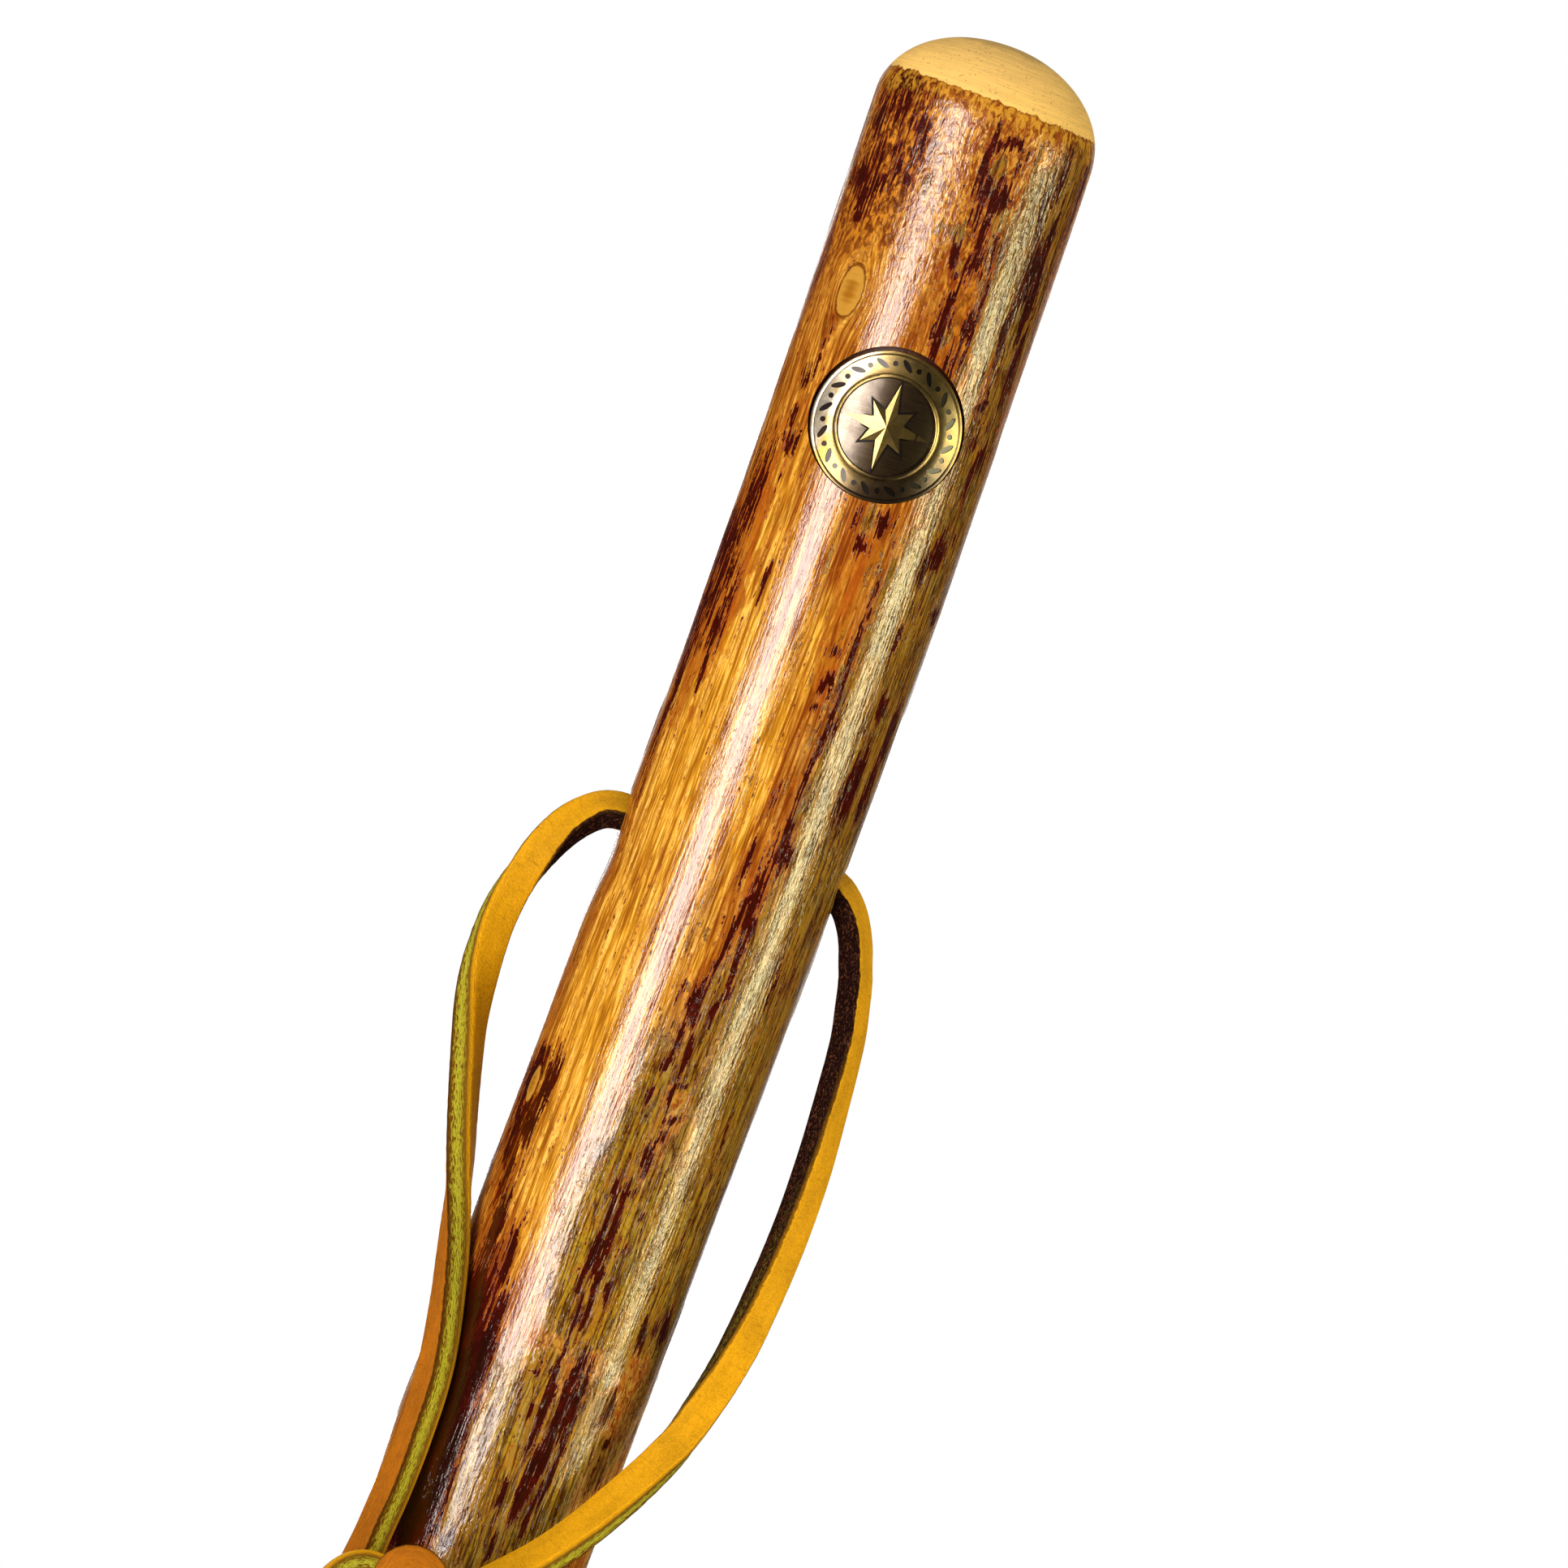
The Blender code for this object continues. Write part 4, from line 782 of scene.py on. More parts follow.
class STAFF_OT_shaft(bpy.types.Operator):
    """Shapes the branch with its crown, knots and bark, and cuts the medallion's recess and the lace's bore"""

    bl_idname = "staff.shaft"
    bl_label = "Shaft"

    def execute(self, context):
        depths = shaft_depths()
        rows = len(depths) - 1
        bpy.ops.object.select_all(action="DESELECT")
        bpy.ops.mesh.primitive_grid_add(x_subdivisions=160, y_subdivisions=rows, size=1.0)
        shaft = added("staff_shaft")
        flat = self.places(shaft)
        even = 2 * np.pi * flat[:, 0]
        closer_in_front = 0.42 * np.sin(even)
        spots = surface(even - closer_in_front, depths[np.rint((0.5 - flat[:, 1]) * rows).astype(int)])
        shaft.data.vertices.foreach_set("co", spots.ravel())
        shaft.data.update()
        edit()
        bpy.ops.mesh.remove_doubles(threshold=0.00001)
        bpy.ops.mesh.select_all(action="DESELECT")
        bpy.ops.mesh.select_non_manifold()
        bpy.ops.mesh.edge_face_add()
        bpy.ops.mesh.select_all(action="SELECT")
        bpy.ops.mesh.normals_make_consistent(inside=False)
        bpy.ops.object.mode_set(mode="OBJECT")
        self.cut_recess(shaft)
        self.cut_bore(shaft)
        self.mark(shaft)
        settled(shaft, 50.0)
        finished(shaft, varnished_wood(), "staff", "varnished_hardwood", "shaft")
        return {"FINISHED"}

    def places(self, item):
        spots = np.empty(len(item.data.vertices) * 3)
        item.data.vertices.foreach_get("co", spots)
        return spots.reshape(-1, 3)

    def cut_recess(self, shaft):
        gap, proud, deep = 0.0003, 0.006, -0.0024
        wide = bpy.context.scene.staff_medallion.diameter / 2 + gap
        steps = [wide * k / 6 for k in range(7)]
        profile = [(reach, proud) for reach in steps] + [(reach, deep) for reach in reversed(steps)]
        tool = bent_to_shaft(raised("recess", profile, 96), RECESS_RIGHT)
        tool.data.transform(Matrix.Translation((0.0, 0.0, gap)))
        carved(shaft, tool)

    def cut_bore(self, shaft):
        centre, _ = shaft_point(BORE_BELOW_CROWN)
        bpy.ops.object.select_all(action="DESELECT")
        bpy.ops.mesh.primitive_cylinder_add(
            vertices=48, radius=BORE_RADIUS, depth=0.08, location=centre, rotation=(0, math.pi / 2, 0))
        carved(shaft, added("bore"))

    def mark(self, shaft):
        """Stores the wood's markings on the finished mesh."""
        spots = self.places(shaft)
        right, back, radius = grown(spots[:, 2])
        out = spots[:, :2] - np.stack((right, back), axis=1)
        reach = np.hypot(out[:, 0], out[:, 1])
        turn = np.arctan2(out[:, 0], -out[:, 1])
        below = (STAFF_LENGTH - spots[:, 2]) / MM
        fields = wood_fields(turn, below)
        del fields["points"]
        # Raw wood inside the recess and the bore, which the material paints dark as shade in these hollows
        fields["cut"] = step(radius - 0.0006 - reach, 0.0, 0.0004) * (below > 40) * (below < 140)
        for name, values in fields.items():
            stored(shaft.data, name, values)
        flow = turn.copy()
        for place, degrees, long, wide in EYES + DARK_KNOTS:
            away = np.radians(degrees_from(turn, degrees))
            flow -= away / np.maximum(((below - place) / long) ** 2 + (away * 17.0 / wide) ** 2, 1.0)
        grain = np.stack((reach / MM * np.sin(flow), -reach / MM * np.cos(flow), below), axis=1)
        stored(shaft.data, "grain", grain, "FLOAT_VECTOR")


def antique_brass():
    """Brass with a dark patina in its low places and brushed high ones, with a painted highlight at its left and
    painted shade at its lower right.
    """
    look = bpy.context.scene.staff_medallion
    b = Bench("antique_brass", Metallic=1.0, Coat_Weight=1.0, Coat_IOR=1.6, Coat_Roughness=0.30)
    spot = b.place()
    centre = shaft_point(look.below_crown)[0] / MM
    right, up = b.along(spot, "X") - centre.x, b.along(spot, "Z") - centre.z
    low = b.attributes("patina")[0]
    brushed = b.speck(spot, 3.0, 0.12, 0.30, 0.70, shift=2.0)
    cloud = b.speck(spot, 2.2, 2.2, 0.35, 0.65, detail=3.0)
    nicks = b.speck(spot, 0.3, 0.3, 0.35, 0.65, shift=4.0)
    worn = b.spread(low + (cloud - 0.5) * 0.20 + (nicks - 0.5) * 0.15, 0.35, 0.65)
    bright = b.layers(
        shade(look.brass, 0.55),
        (shade(look.brass, 1.12), brushed * 0.35 + cloud * 0.65),
        # Painted highlight: the bright brass paler towards its left
        ((0.90, 0.82, 0.70), b.spread(right - up * 0.2 + (cloud - 0.5) * 3.0, -6.0, -10.5, 0.0, 0.8)),
        # Painted shade: the bright brass darker towards its lower right
        (shade(look.patina, 2.0), b.spread(right * 0.6 - up + (cloud - 0.5) * 4.0, 5.0, 11.0, 0.0, 0.85)))
    dull = b.layers(
        look.patina,
        (shade(look.brass, 0.30), brushed * b.spread(low, 0.99, 0.93, 0.0, 0.6)),
        # Painted highlight: the sunk field paler towards its left
        ((0.40, 0.32, 0.25), b.spread(right + (cloud - 0.5) * 3.0, -1.5, -7.0, 0.0, 0.75)),
        (shade(look.patina, 0.3), b.spread(low, 0.94, 1.0)))
    return b.feed(
        Base_Color=b.mix(bright, dull, worn),
        Roughness=0.29 + worn * 0.08 + nicks * 0.04,
        Normal=b.bump(right * right * 0.005 + brushed * 0.012 + nicks * 0.005, 0.001, 1.0))


class STAFF_OT_medallion(bpy.types.Operator):
    """Strikes the medallion: rim, engraved band, thin ring, sunk field and a compass star"""

    bl_idname = "staff.medallion"
    bl_label = "Medallion"

    def execute(self, context):
        look = context.scene.staff_medallion
        brass = antique_brass()
        rim, ring = look.diameter / 2, look.ring_diameter / 2
        top, band, field, back = 0.0001, -0.00010, -0.00038, -0.0014
        profile = [(0, field), (ring * 0.3, field), (ring * 0.6, field), (ring * 0.82, field)]
        profile += [(ring - 0.00062, field), (ring - 0.00050, top - 0.00006), (ring - 0.00042, top)]
        profile += [(ring - 0.00006, top), (ring + 0.00002, top - 0.00006), (ring + 0.00012, band - 0.00006)]
        profile += [(ring + 0.00030, band), (ring + 0.0012, band), (rim - 0.00090, band)]
        profile += [(rim - 0.00068, band), (rim - 0.00056, top - 0.00005), (rim - 0.00045, top)]
        profile += [(rim - 0.00012, top), (rim, top - 0.00014), (rim, back)]
        profile += [(ring, back), (ring * 0.5, back), (0, back)]
        disc = raised("medallion_disc", profile, 144)
        carved(disc, self.band_marks((rim + ring) / 2 - 0.0001, band))
        stored(disc.data, "patina", [self.darkness(vertex.co, ring, band) for vertex in disc.data.vertices])
        settled(bent_to_shaft(disc, MEDALLION_RIGHT), 35.0)
        finished(disc, brass, "staff", "antique_brass", "medallion")
        low = field - 0.0001
        for name, grow, high, dark in (
            ("medallion_star_shadow", 1.18, field + 0.00004, 1.0),
            ("medallion_star", 1.0, top + 0.00012, 0.0),
        ):
            star = self.star(name, look.star_diameter / 2 * grow, low, high)
            stored(star.data, "patina", [dark] * len(star.data.vertices))
            settled(bent_to_shaft(star, MEDALLION_RIGHT), 20.0)
            finished(star, brass, "staff", "antique_brass")
        return {"FINISHED"}

    def band_marks(self, middle, band):
        """Cutters for the engraved band: slanted leaves with a bead between each two."""
        marks = []
        for k in range(32):
            turn = 2 * math.pi * k / 32
            long, lean = (0.00115, math.radians(48)) if k % 2 == 0 else (0.00042, 0.0)
            bpy.ops.object.select_all(action="DESELECT")
            bpy.ops.mesh.primitive_cylinder_add(vertices=12, radius=1.0, depth=0.0006, location=(0, 0, 0))
            mark = added("band_mark")
            spot = Matrix.Translation((middle * math.cos(turn), middle * math.sin(turn), band + 0.00016))
            size = Matrix.Diagonal((long, 0.00042, 1.0, 1.0))
            mark.data.transform(spot @ Matrix.Rotation(turn, 4, "Z") @ Matrix.Rotation(lean, 4, "Z") @ size)
            marks.append(mark)
        return joined("band_marks", marks)

    def darkness(self, spot, ring, band):
        """How much patina stayed at a point: the field, the engraving and the foot of each rim are dark."""
        if math.hypot(spot.x, spot.y) < ring - 0.0005:
            return 0.92 if spot.z < band else 0.3
        return min(1.0, max(0.0, (band - spot.z) / 0.00010)) if spot.z > -0.001 else 1.0

    def star(self, name, reach, low, high):
        """A compass star of eight rays, each with a ridge along it."""
        bpy.ops.object.select_all(action="DESELECT")
        bpy.ops.mesh.primitive_circle_add(vertices=16, radius=1.0, fill_type="TRIFAN")
        star = added(name)
        for vertex in star.data.vertices:
            away = math.hypot(vertex.co.x, vertex.co.y)
            if away < 0.5:
                vertex.co = (0.0, 0.0, high)
                continue
            turn = round(math.degrees(math.atan2(vertex.co.y, vertex.co.x)) / 22.5) % 16
            long = 1.0 if turn % 4 == 0 else 0.66 if turn % 2 == 0 else 0.37
            vertex.co = vertex.co / away * reach * long
            vertex.co.z = low + (0.00022 if turn % 2 else 0.00026)
        edit()
        bpy.ops.mesh.region_to_loop()
        bpy.ops.mesh.extrude_edges_move(TRANSFORM_OT_translate={"value": (0, 0, 0)})
        bpy.ops.transform.resize(value=(1, 1, 0), center_override=(0, 0, low))
        bpy.ops.mesh.edge_face_add()
        bpy.ops.object.mode_set(mode="OBJECT")
        return star


def tan_leather():
    """Oiled leather: a smooth golden face, a rougher brown one and fuzzy olive cut edges, with painted shade on the cut
    edges near the bore and a painted highlight along the smooth face's corners.
    """
    look = bpy.context.scene.staff_lace
    b = Bench("tan_leather", IOR=1.45, Specular_IOR_Level=0.1)
    spot = b.wire("ShaderNodeAttribute", "Vector", attribute_name="thong")
    across, through, painted_shade = b.attributes("across", "through", "painted_shade")
    pores = b.speck(spot, 0.30, 0.34, 0.34, 0.66, detail=3.0)
    nap = b.speck(spot, 0.22, 0.9, 0.34, 0.66, detail=3.0, shift=3.0)
    cloud = b.speck(spot, 2.6, 7.0, 0.34, 0.66, shift=8.0)
    creases = b.speck(spot, 2.4, 0.5, 0.60, 0.70, detail=3.0, distortion=1.2, shift=5.0)
    smooth_face = b.layers(
        shade(look.smooth_face, 0.72),
        (shade(look.smooth_face, 1.12), cloud * 0.5 + pores * 0.5),
        (shade(look.smooth_face, 0.62), creases * 0.4))
    rough_face = b.mix(shade(look.rough_face, 0.72), shade(look.rough_face, 1.25), nap * 0.6 + cloud * 0.4)
    core = b.spread(b.maths("ABSOLUTE", through + (nap - 0.5) * 0.7 + 0.1), 0.50, 0.15)
    # Painted shade: near-black fuzz on the cut edges, strongest near the bore
    painted_shade_fuzz = b.mix((0.010, 0.0015, 0.001), (0.12, 0.040, 0.014), b.spread(nap * 0.5 + pores * 0.5, 0.55, 0.9))
    cut_face = b.layers(
        shade(look.rough_face, 0.40),
        (shade(look.cut_face, 1.3), core * 0.8 + nap * 0.15),
        (shade(look.rough_face, 0.35), b.spread(nap, 0.4, 0.0, 0.0, 0.6)),
        (shade(look.rough_face, 0.12), b.spread(through, -0.60, -0.90, 0.0, 0.85)),
        (painted_shade_fuzz, b.spread(painted_shade + (nap - 0.5) * 0.5, 0.1, 0.6)))
    flipped = b.spread(through, 0.2, -0.2)
    edge = b.maths("ABSOLUTE", across) + (nap - 0.5) * 0.05
    cut = b.spread(edge, 0.88, 0.93)
    # Painted highlight: a lighter line along the smooth face's corners next to the cut edges, left out in the painted
    # shade
    painted_corner_highlight = b.spread(edge, 0.80, 0.88) * b.spread(through, 0.55, 0.9) * (1 - painted_shade)
    colour = b.layers(
        smooth_face, (rough_face, flipped), (cut_face, cut), (shade(look.smooth_face, 1.25), painted_corner_highlight * 0.7))
    return b.feed(
        Base_Color=colour,
        Roughness=0.46 + cut * 0.36 + flipped * 0.14 + pores * 0.08,
        Normal=b.bump(pores * 0.35 + nap * (cut * 1.1 + flipped * 0.5) - creases * 0.4, 0.00016, 0.8))


def knot_touch(direction):
    """The point on the knot's outside in a direction from its centre."""
    way = Vector(direction).normalized()
    reach = 1 / math.sqrt(sum((part / half) ** 2 for part, half in zip(way, KNOT_HALF)))
    return KNOT_CENTRE + way * reach


def resampled(rows):
    """Evenly spaced rows of place and face along a smooth curve through rows of six numbers, and its length."""
    rows = [np.array(row, dtype=float) for row in rows]
    fine = []
    for i in range(len(rows) - 1):
        before, low, high, after = rows[max(i - 1, 0)], rows[i], rows[i + 1], rows[min(i + 2, len(rows) - 1)]
        for k in range(12):
            t = k / 12
            fine.append(0.5 * (
                2 * low + (high - before) * t + (2 * before - 5 * low + 4 * high - after) * t**2
                + (3 * low - before - 3 * high + after) * t**3))
    fine = np.array(fine + [rows[-1]])
    steps = np.linalg.norm(np.diff(fine[:, :3], axis=0), axis=1)
    length = np.concatenate(([0.0], np.cumsum(steps)))
    want = np.linspace(0.0, length[-1], max(4, round(length[-1] / THONG_SPACING)) + 1)
    return np.stack([np.interp(want, length, fine[:, k]) for k in range(6)], axis=1), float(length[-1])


def thong_profile(wide, thick):
    """The thong's section from its half sizes, with rounded corners, as (across, through), anticlockwise."""
    corners = []
    for sign_a, sign_b, start in ((1, 1, 0), (-1, 1, 90), (-1, -1, 180), (1, -1, 270)):
        for degrees in range(start, start + 91, 30):
            turn = math.radians(degrees)
            corners.append((
                sign_a * (wide - THONG_CORNER) + THONG_CORNER * math.cos(turn),
                sign_b * (thick - THONG_CORNER) + THONG_CORNER * math.sin(turn)))
    found = []
    for k, here in enumerate(corners):
        after = corners[(k + 1) % len(corners)]
        for share in (0.0, 0.2, 0.4, 0.6, 0.8) if k % 4 == 3 else (0.0,):
            found.append(tuple(start + (end - start) * share for start, end in zip(here, after)))
    return found


def thong(name, rows, wide=1.0, thick=1.0, closed=False, seed=0.0, painted_shade=((0, 0.0),)):
    """A flat lace along rows of place and face, in mm from the hinge, with its cut edges slightly uneven."""
    look = bpy.context.scene.staff_lace
    half_wide, half_thick = look.width / MM * wide / 2, look.thickness / MM * thick / 2
    path, length = resampled(rows)
    places, faces = path[:, :3] * MM, path[:, 3:]
    if closed:
        places, faces = places[:-1], faces[:-1]
        ways = np.roll(places, -1, axis=0) - np.roll(places, 1, axis=0)
    else:
        ways = np.gradient(places, axis=0)
    ways /= np.linalg.norm(ways, axis=1)[:, None]
    faces = faces - ways * np.sum(faces * ways, axis=1)[:, None]
    faces /= np.linalg.norm(faces, axis=1)[:, None]
    sides = np.cross(ways, faces)
    profile = thong_profile(half_wide, half_thick)
    count, rings = len(profile), len(places)
    work = bmesh.new()
    marks, spots, grid = [], [], []
    for i in range(rings):
        along = i * THONG_SPACING
        swell = 1.0 + 0.03 * noise.noise((along * 0.12 + seed, 3.0, 1.0))
        ring = []
        for across, through in profile:
            uneven = 1.0 + 0.035 * noise.noise((along * 1.3 + seed, across * 0.9, through * 0.9))
            offset = sides[i] * across * uneven * swell + faces[i] * through * (2 - uneven)
            ring.append(work.verts.new(HINGE + Vector(places[i] + offset * MM)))
            marks.append((across / half_wide, through / half_thick))
            spots.append((across, through, along + seed))
        grid.append(ring)
    for i in range(rings if closed else rings - 1):
        low, high = grid[i], grid[(i + 1) % rings]
        for k in range(count):
            after = (k + 1) % count
            work.faces.new((low[k], low[after], high[after], high[k]))
    if not closed:
        for ring in (grid[0], grid[-1]):
            middle = work.verts.new(sum((spot.co for spot in ring), Vector()) / count)
            marks.append((0.97, 0.0))
            spots.append((0.0, 0.0, seed))
            for k in range(count):
                work.faces.new((ring[k], ring[(k + 1) % count], middle))
    bmesh.ops.recalc_face_normals(work, faces=work.faces)
    mesh = bpy.data.meshes.new(name)
    work.to_mesh(mesh)
    work.free()
    item = bpy.data.objects.new(name, mesh)
    bpy.context.scene.collection.objects.link(item)
    marks, spots = np.array(marks), np.array(spots)
    stored(mesh, "across", marks[:, 0])
    stored(mesh, "through", marks[:, 1])
    stored(mesh, "painted_shade", np.interp(spots[:, 2] - seed, *zip(*painted_shade)))
    stored(mesh, "thong", spots, "FLOAT_VECTOR")
    alone(item)
    bpy.ops.object.shade_smooth_by_angle(angle=math.radians(60))
    return item, [HINGE + Vector(place) for place in places], length * MM


class STAFF_OT_lace(bpy.types.Operator):
    """Runs the leather lace through the bore, ties its legs in a knot and leaves two cut tails"""

    bl_idname = "staff.lace"
    bl_label = "Lace"

    def execute(self, context):
        left_end, right_end, long_start, short_start = (
            knot_touch(way) for way in (LEFT_ENTRY, RIGHT_ENTRY, LONG_EXIT, SHORT_EXIT))
        run, _, _ = thong(
            "lace_run",
            [(-BORE_HALF, 0, 0, *LEFT_LEG[0][3:]), (0, 0, 0, 0, -0.7, 0.7), (BORE_HALF, 0, 0, *RIGHT_LEG[0][3:])],
            seed=1.0)
        left, left_path, left_length = thong(
            "lace_left", LEFT_LEG + [(*left_end, 0.70, 0.70, 0.0)], seed=20.0, painted_shade=LEFT_PAINTED_SHADE)
        right, right_path, right_length = thong(
            "lace_right", RIGHT_LEG + [(*right_end, -0.35, -0.7, 0.6)], seed=240.0, painted_shade=RIGHT_PAINTED_SHADE)
        tail, tail_path, tail_length = thong(
            "lace_tail_long", [(*long_start, -0.2, -0.97, 0.0)] + LONG_TAIL, seed=430.0)
        short, _, _ = thong("lace_tail_short", [(*short_start, -0.1, -0.99, 0.0)] + SHORT_TAIL, seed=510.0)
        knot = self.tie(left_end, right_end, long_start, short_start)
        leather = tan_leather()
        for item, node in (
            (run, "lace_bore_run"), (left, "lace_left_leg"), (right, "lace_right_leg"),
            (tail, "lace_long_tail"), (short, "lace_short_tail"), (knot, "lace_knot"),
        ):
            finished(item, leather, "lace", "tan_leather", node)
        return {"FINISHED"}

    def loop(self, centre, first, second, reach, offset, wide, thick, seed):
        """A closed turn of lace round the knot, its smooth face outwards."""
        first, second = Vector(first).normalized(), Vector(second).normalized()
        side = first.cross(second)
        rows = []
        for k in range(25):
            turn = 2 * math.pi * k / 24
            out = first * math.cos(turn) * reach[0] + second * math.sin(turn) * reach[1]
            face = first * math.cos(turn) / reach[0] + second * math.sin(turn) / reach[1]
            rows.append((*(KNOT_CENTRE + Vector(centre) + out + side * offset), *face.normalized()))
        return thong("knot_turn", rows, wide, thick, closed=True, seed=seed)[0]

    def arch(self):
        """The strand that turns over flat in front of the knot, its flesh side outwards."""
        reach = bpy.context.scene.staff_lace.width / MM / 2 + 0.2
        rows = []
        for k in range(17):
            turn = 2 * math.pi * k / 16
            out = Vector((math.cos(turn), 0.0, math.sin(turn)))
            rows.append((*(ARCH_CENTRE + out * reach), *(Vector((0, 1, 0)) - out * 0.45).normalized()))
        return thong("knot_arch", rows, closed=True, seed=900.0)[0]

    def tie(self, left_end, right_end, long_start, short_start):
        """The overhand knot in both strands: a turn over the top, a loop at the left, both double, and the insides."""
        parts = [self.arch()]
        for k, offset in enumerate((-2.25, 2.25)):
            parts.append(self.loop(
                (3.2, 0.8, -2.0), (0, 1, 0.05), (-0.22, 0, 0.97), (6.0, 9.0), offset, 0.94, 1.0, 600.0 + 50 * k))
            parts.append(self.loop(
                (-4.6, -0.4 + offset * 0.2, -0.6), (0.97, 0.1, 0.25), (-0.25, 0.12, 0.96), (6.2, 7.4),
                offset * 0.72, 0.86, 0.9, 710.0 + 50 * k))
        for start, inner, end, seed in (
            (left_end, (-2.5, 1.5, 3.0), long_start, 820.0),
            (right_end, (2.0, 0.5, -2.0), short_start, 850.0),
        ):
            middle = KNOT_CENTRE + Vector(inner)
            rows = [(*start, 0.2, -0.9, 0.2), (*middle, 0.1, -0.95, 0.1), (*end, -0.1, -0.97, 0.0)]
            parts.append(thong("knot_strand", rows, seed=seed)[0])
        return joined("lace_knot_turns", parts)


def brown_rubber():
    """Matt moulded rubber, a little dusty and scuffed at its foot."""
    look = bpy.context.scene.staff_tip
    b = Bench("brown_rubber", IOR=1.45, Specular_IOR_Level=0.15)
    spot = b.place()
    dust = b.speck(spot, 1.6, 1.6, 0.40, 0.66, detail=4.0)
    grain = b.speck(spot, 0.16, 0.16, 0.35, 0.65)
    scuffs = b.speck(spot, 1.0, 0.18, 0.56, 0.66, detail=3.0, shift=5.0) * b.spread(b.along(spot, "Z"), 12.0, 1.0)
    colour = b.layers(look.rubber, (shade(look.rubber, 1.5), dust * 0.6), (shade(look.rubber, 2.4), scuffs * 0.5))
    return b.feed(
        Base_Color=colour,
        Roughness=0.58 + dust * 0.14 + scuffs * 0.1,
        Normal=b.bump(grain * 0.5 + dust * 0.3 - scuffs * 0.5, 0.00010, 0.6))


class STAFF_OT_tip(bpy.types.Operator):
    """Moulds the flared rubber tip with its bevelled rim, rounded foot and ringed tread"""

    bl_idname = "staff.tip"
    bl_label = "Tip"

    def execute(self, context):
        look = context.scene.staff_tip
        rim, foot, top = look.rim_diameter / 2, look.foot_diameter / 2, look.height
        bore, floor, tread, round_foot = 0.01318, 0.0065, 0.0132, 0.005
        profile = [(0, floor), (bore * 0.5, floor), (bore, floor), (bore, top - 0.0004), (bore + 0.0003, top)]
        profile += [(rim - 0.0008, top), (rim - 0.00035, top - 0.00018), (rim, top - 0.0008)]
        for share in (0.88, 0.72, 0.56, 0.42, 0.30, 0.22):
            flare = (1 - (top * share - round_foot) / (top - round_foot)) ** 1.35
            profile.append((rim + (foot - rim) * flare, top * share))
        for k in range(9):
            turn = math.pi / 2 * k / 8
            profile.append((tread + (foot - tread) * math.cos(turn), round_foot * (1 - math.sin(turn))))
        for ring in (0.0118, 0.0086, 0.0054):
            profile += [(ring, 0.0), (ring - 0.0002, 0.0009), (ring - 0.0014, 0.0009), (ring - 0.0016, 0.0)]
        tip = raised("staff_tip", profile + [(0, 0.0)], 96)
        finished(tip, brown_rubber(), "staff", "brown_rubber", "ferrule")
        return {"FINISHED"}


class STAFF_OT_hidden(bpy.types.Operator):
    """Finishes the CAD's own glue pad and washer, which the other pieces hide"""

    bl_idname = "staff.hidden"
    bl_label = "Glue pad and washer"

    def execute(self, context):
        b = glue = Bench("set_glue")
        blobs = b.speck(b.place(), 1.2, 1.2, 0.35, 0.65, detail=3.0)
        b.feed(
            Base_Color=b.mix((0.62, 0.52, 0.32), (0.76, 0.69, 0.50), blobs),
            Roughness=0.42 + blobs * 0.2,
            Normal=b.bump(blobs, 0.00015, 0.6))
        b = steel = Bench("zinc_plated_steel", Metallic=1.0)
        spangle = b.speck(b.place(), 0.9, 0.9, detail=3.0)
        lines = b.speck(b.stretch(b.place(), (1.0, 30.0, 1.0)), 3.0, 3.0, 0.30, 0.70)
        b.feed(
            Base_Color=b.mix((0.40, 0.41, 0.42), (0.55, 0.55, 0.54), spangle),
            Roughness=0.30 + lines * 0.15,
            Normal=b.bump(lines, 0.00002, 0.6))
        for node, bench in (("medallion_adhesive", glue), ("ferrule_washer", steel)):
            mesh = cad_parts[node].data
            mesh.materials.clear()
            mesh.materials.append(bench.material)
        return {"FINISHED"}


def soft_box(name, degrees, half_degrees, distance, low, high, strength, colour=(1.0, 1.0, 1.0), flare=0.0):
    """A tall curved light round the staff, at degrees from its front towards the right, wider at its top."""
    bpy.ops.object.select_all(action="DESELECT")
    bpy.ops.mesh.primitive_grid_add(x_subdivisions=8, y_subdivisions=2, size=1.0)
    box = added(name)
    for vertex in box.data.vertices:
        turn = math.radians(degrees + 2 * (half_degrees + flare * 2 * vertex.co.y) * vertex.co.x)
        height = low + (high - low) * (vertex.co.y + 0.5)
        vertex.co = (distance * math.sin(turn), -distance * math.cos(turn), height)
    b = Bench(name)
    b.show(b.node("ShaderNodeEmission", None, {"Color": colour, "Strength": strength}))
    box.data.materials.append(b.material)
    box.visible_camera = False


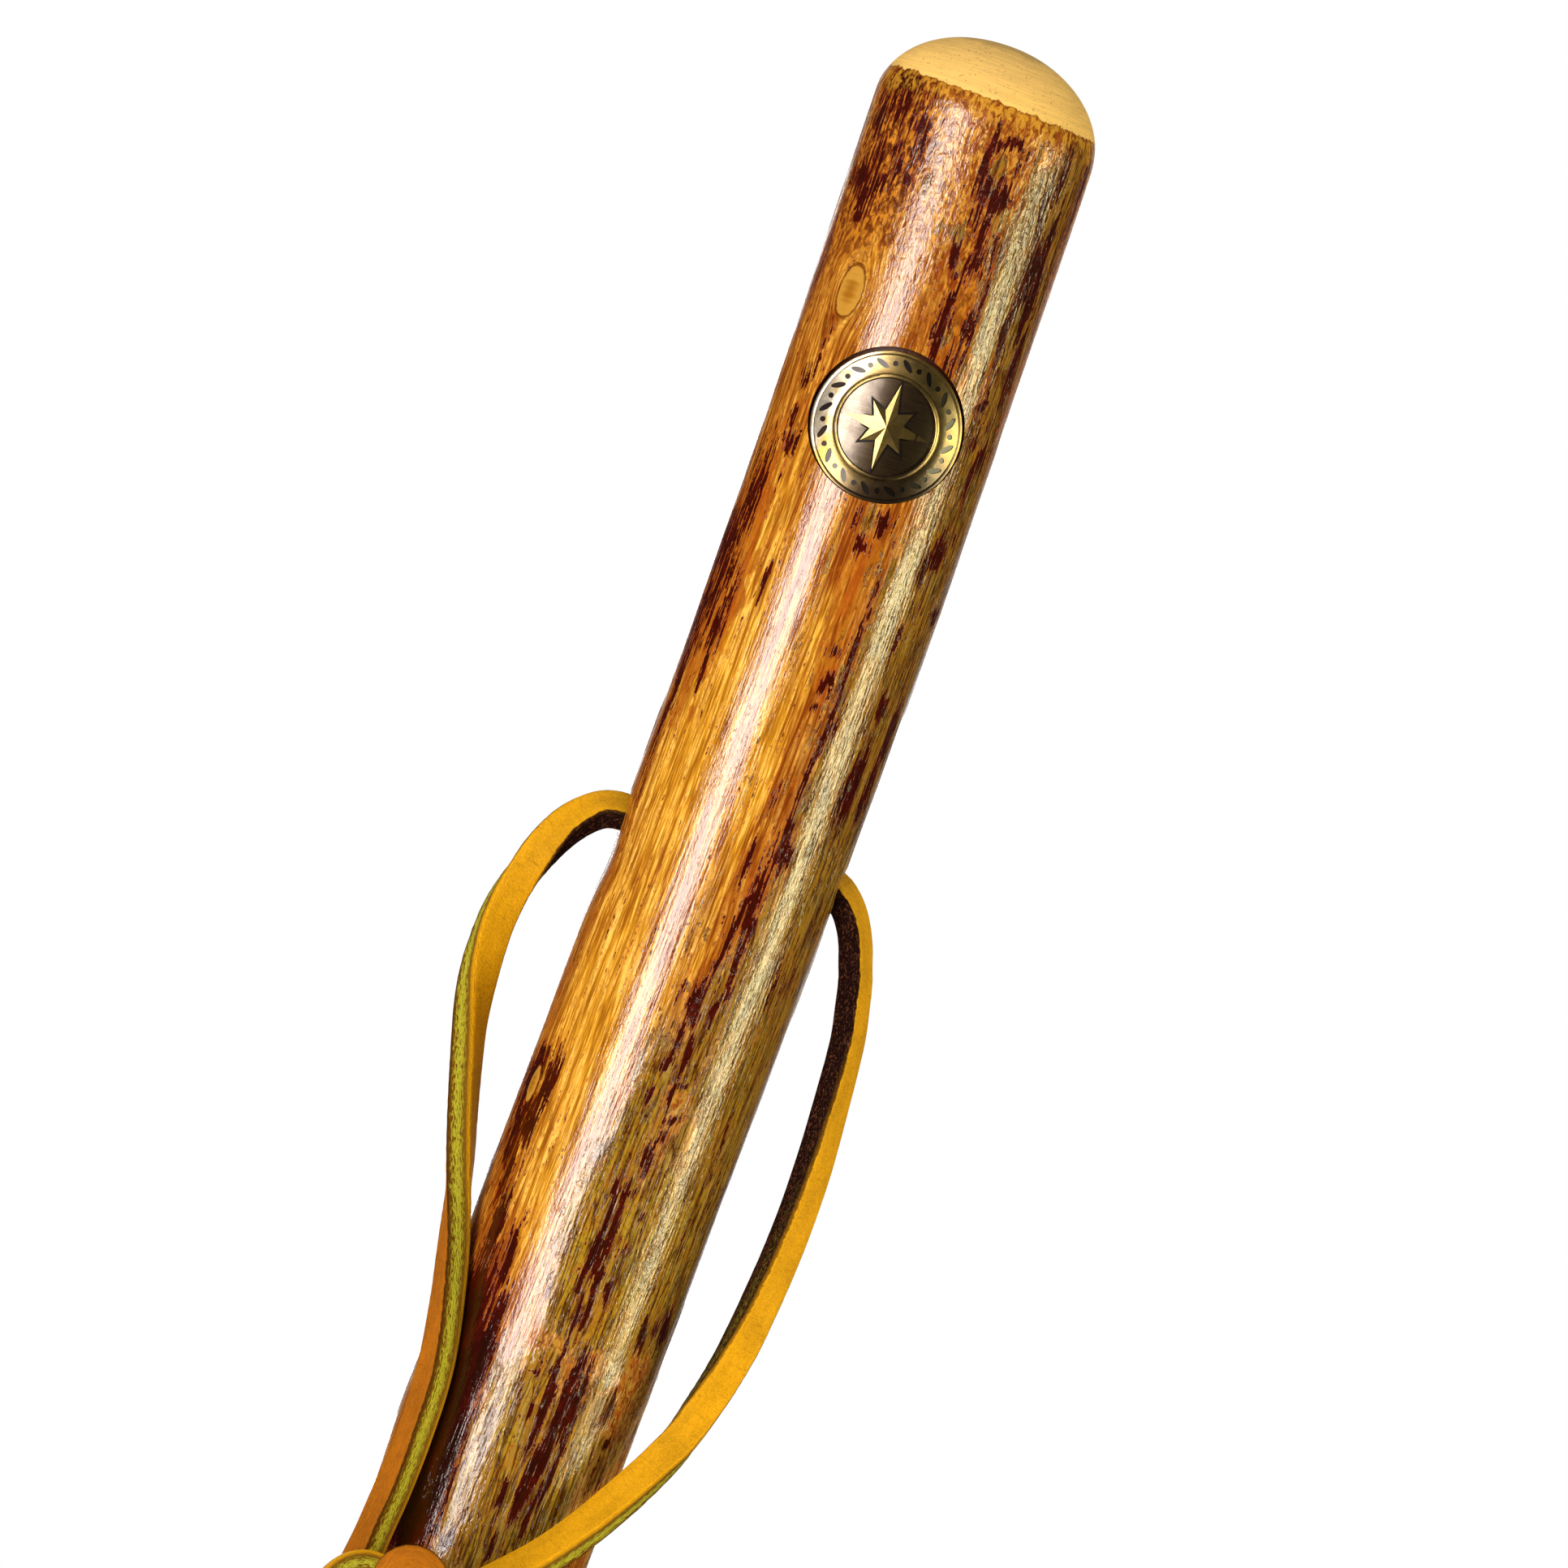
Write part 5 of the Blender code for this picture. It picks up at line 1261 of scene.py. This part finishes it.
class STAFF_OT_stage(bpy.types.Operator):
    """Sets the floor, the white room, the soft boxes and the camera"""

    bl_idname = "staff.stage"
    bl_label = "Stage"

    def execute(self, context):
        look = context.scene.staff_stage
        context.scene.view_settings.view_transform = "Standard"
        self.camera(context.scene, look)
        self.floor()
        self.room(context.scene, look.room_strength)
        cream, warm = (1.0, 0.93, 0.86), (1.0, 0.92, 0.52)
        soft_box("key_light", -29.5, 11.0, 1.5, 0.98, 1.60, look.key_strength, cream, 2.5)
        soft_box("key_light_low", -29.5, 8.5, 1.5, 0.05, 0.98, look.key_strength * 0.75, cream)
        soft_box("side_light", 72.5, 6.2, 1.5, 1.06, 1.66, look.side_strength, warm)
        soft_box("side_light_low", 72.5, 6.2, 1.5, 0.05, 1.06, look.side_strength * 0.35, warm)
        soft_box("rear_light", 182.0, 9.0, 1.8, 0.10, 1.60, 5.0)
        return {"FINISHED"}

    def camera(self, scene, look):
        data = bpy.data.cameras.new("camera")
        data.sensor_width = 36.0
        data.lens = data.sensor_width * look.camera_distance / PHOTO_WIDTH
        camera = bpy.data.objects.new("camera", data)
        camera.matrix_world = (
            Matrix.Translation((CAMERA_RIGHT, -look.camera_distance, look.camera_height))
            @ Matrix.Rotation(math.pi / 2, 4, "X") @ Matrix.Rotation(look.camera_roll, 4, "Z"))
        scene.collection.objects.link(camera)
        scene.camera = camera

    def floor(self):
        bpy.ops.object.select_all(action="DESELECT")
        bpy.ops.mesh.primitive_circle_add(vertices=96, radius=6.0, fill_type="NGON", location=(0, 0, 0))
        floor = added("floor")
        b = Bench("floor", Roughness=0.9)
        b.feed(Base_Color=(0.92, 0.92, 0.92))
        away = b.wire("ShaderNodeVectorMath", "Value", {0: b.place()}, operation="LENGTH")
        seen = b.wire("ShaderNodeLightPath", "Is Camera Ray")
        shiny = b.wire("ShaderNodeLightPath", "Is Glossy Ray")
        white = b.node("ShaderNodeEmission", None, {0: b.mix((0.015, 0.015, 0.015), (1.0, 1.0, 1.0), seen)})
        # Plainly lit near the staff, where its shadow falls, and white further away
        share = b.spread(away, 350.0, 1350.0) * seen + shiny
        b.show(b.node("ShaderNodeMixShader", None, {
            0: share, 1: Wire(b, b.shader.outputs[0]), 2: Wire(b, white.outputs[0])}))
        floor.data.materials.append(b.material)

    def room(self, scene, strength):
        """White to the camera, white in reflections behind the staff and dimmer light from the rest of the room."""
        scene.world = bpy.data.worlds.new("room")
        b = Bench("room", scene.world)
        b.tree.nodes.clear()
        seen, shiny, clear = (
            b.wire("ShaderNodeLightPath", ray) for ray in ("Is Camera Ray", "Is Glossy Ray", "Is Transmission Ray"))
        way = b.wire("ShaderNodeTexCoord", "Generated")
        behind = b.spread(b.along(way, "Y"), 0.92, 1.0)
        white = b.maths("MAXIMUM", seen, b.maths("MAXIMUM", shiny, clear) * behind)
        slope = {0: way, 1: (-0.30 * strength, 0.0, 1.6 * strength)}
        lit = b.wire("ShaderNodeVectorMath", "Value", slope, operation="DOT_PRODUCT") + 0.9 * strength
        dim = b.spread(shiny, 0.0, 1.0, b.maths("MAXIMUM", lit, 0.4 * strength), 0.015)
        light = {"Color": (1.0, 1.0, 1.0), "Strength": b.spread(white, 0.0, 1.0, dim, 1.0)}
        back = b.node("ShaderNodeBackground", None, light)
        b.node("ShaderNodeOutputWorld", None, {"Surface": Wire(b, back.outputs[0])})


class STAFF_PT_panel(bpy.types.Panel):
    """Lists the staff's pieces and their settings"""

    bl_idname = "STAFF_PT_panel"
    bl_label = "Walking staff"
    bl_space_type = "VIEW_3D"
    bl_region_type = "UI"
    bl_category = "Walking staff"

    def draw(self, context):
        layout = self.layout
        for operator, settings in STEPS:
            layout.operator(operator.bl_idname)
            if settings:
                group = getattr(context.scene, settings)
                for key in type(group).__annotations__:
                    layout.prop(group, key)


# The camera and the cords come first
STEPS = (
    (STAFF_OT_stage, "staff_stage"),
    (STAFF_OT_lace, "staff_lace"),
    (STAFF_OT_shaft, "staff_wood"),
    (STAFF_OT_medallion, "staff_medallion"),
    (STAFF_OT_tip, "staff_tip"),
    (STAFF_OT_hidden, None),
)
SETTINGS = {
    "staff_wood": WoodSettings,
    "staff_medallion": MedallionSettings,
    "staff_lace": LaceSettings,
    "staff_tip": TipSettings,
    "staff_stage": StageSettings,
}
CLASSES = (*SETTINGS.values(), *(operator for operator, _ in STEPS), STAFF_PT_panel)


def register():
    for item in CLASSES:
        bpy.utils.register_class(item)
    for name, group in SETTINGS.items():
        setattr(bpy.types.Scene, name, PointerProperty(type=group))


def unregister():
    for name in SETTINGS:
        delattr(bpy.types.Scene, name)
    for item in reversed(CLASSES):
        bpy.utils.unregister_class(item)


def main():
    register()
    bpy.ops.staff.stage()
    bpy.ops.staff.lace()
    bpy.ops.staff.shaft()
    bpy.ops.staff.medallion()
    bpy.ops.staff.tip()
    bpy.ops.staff.hidden()


if __name__ == "__main__":
    main()
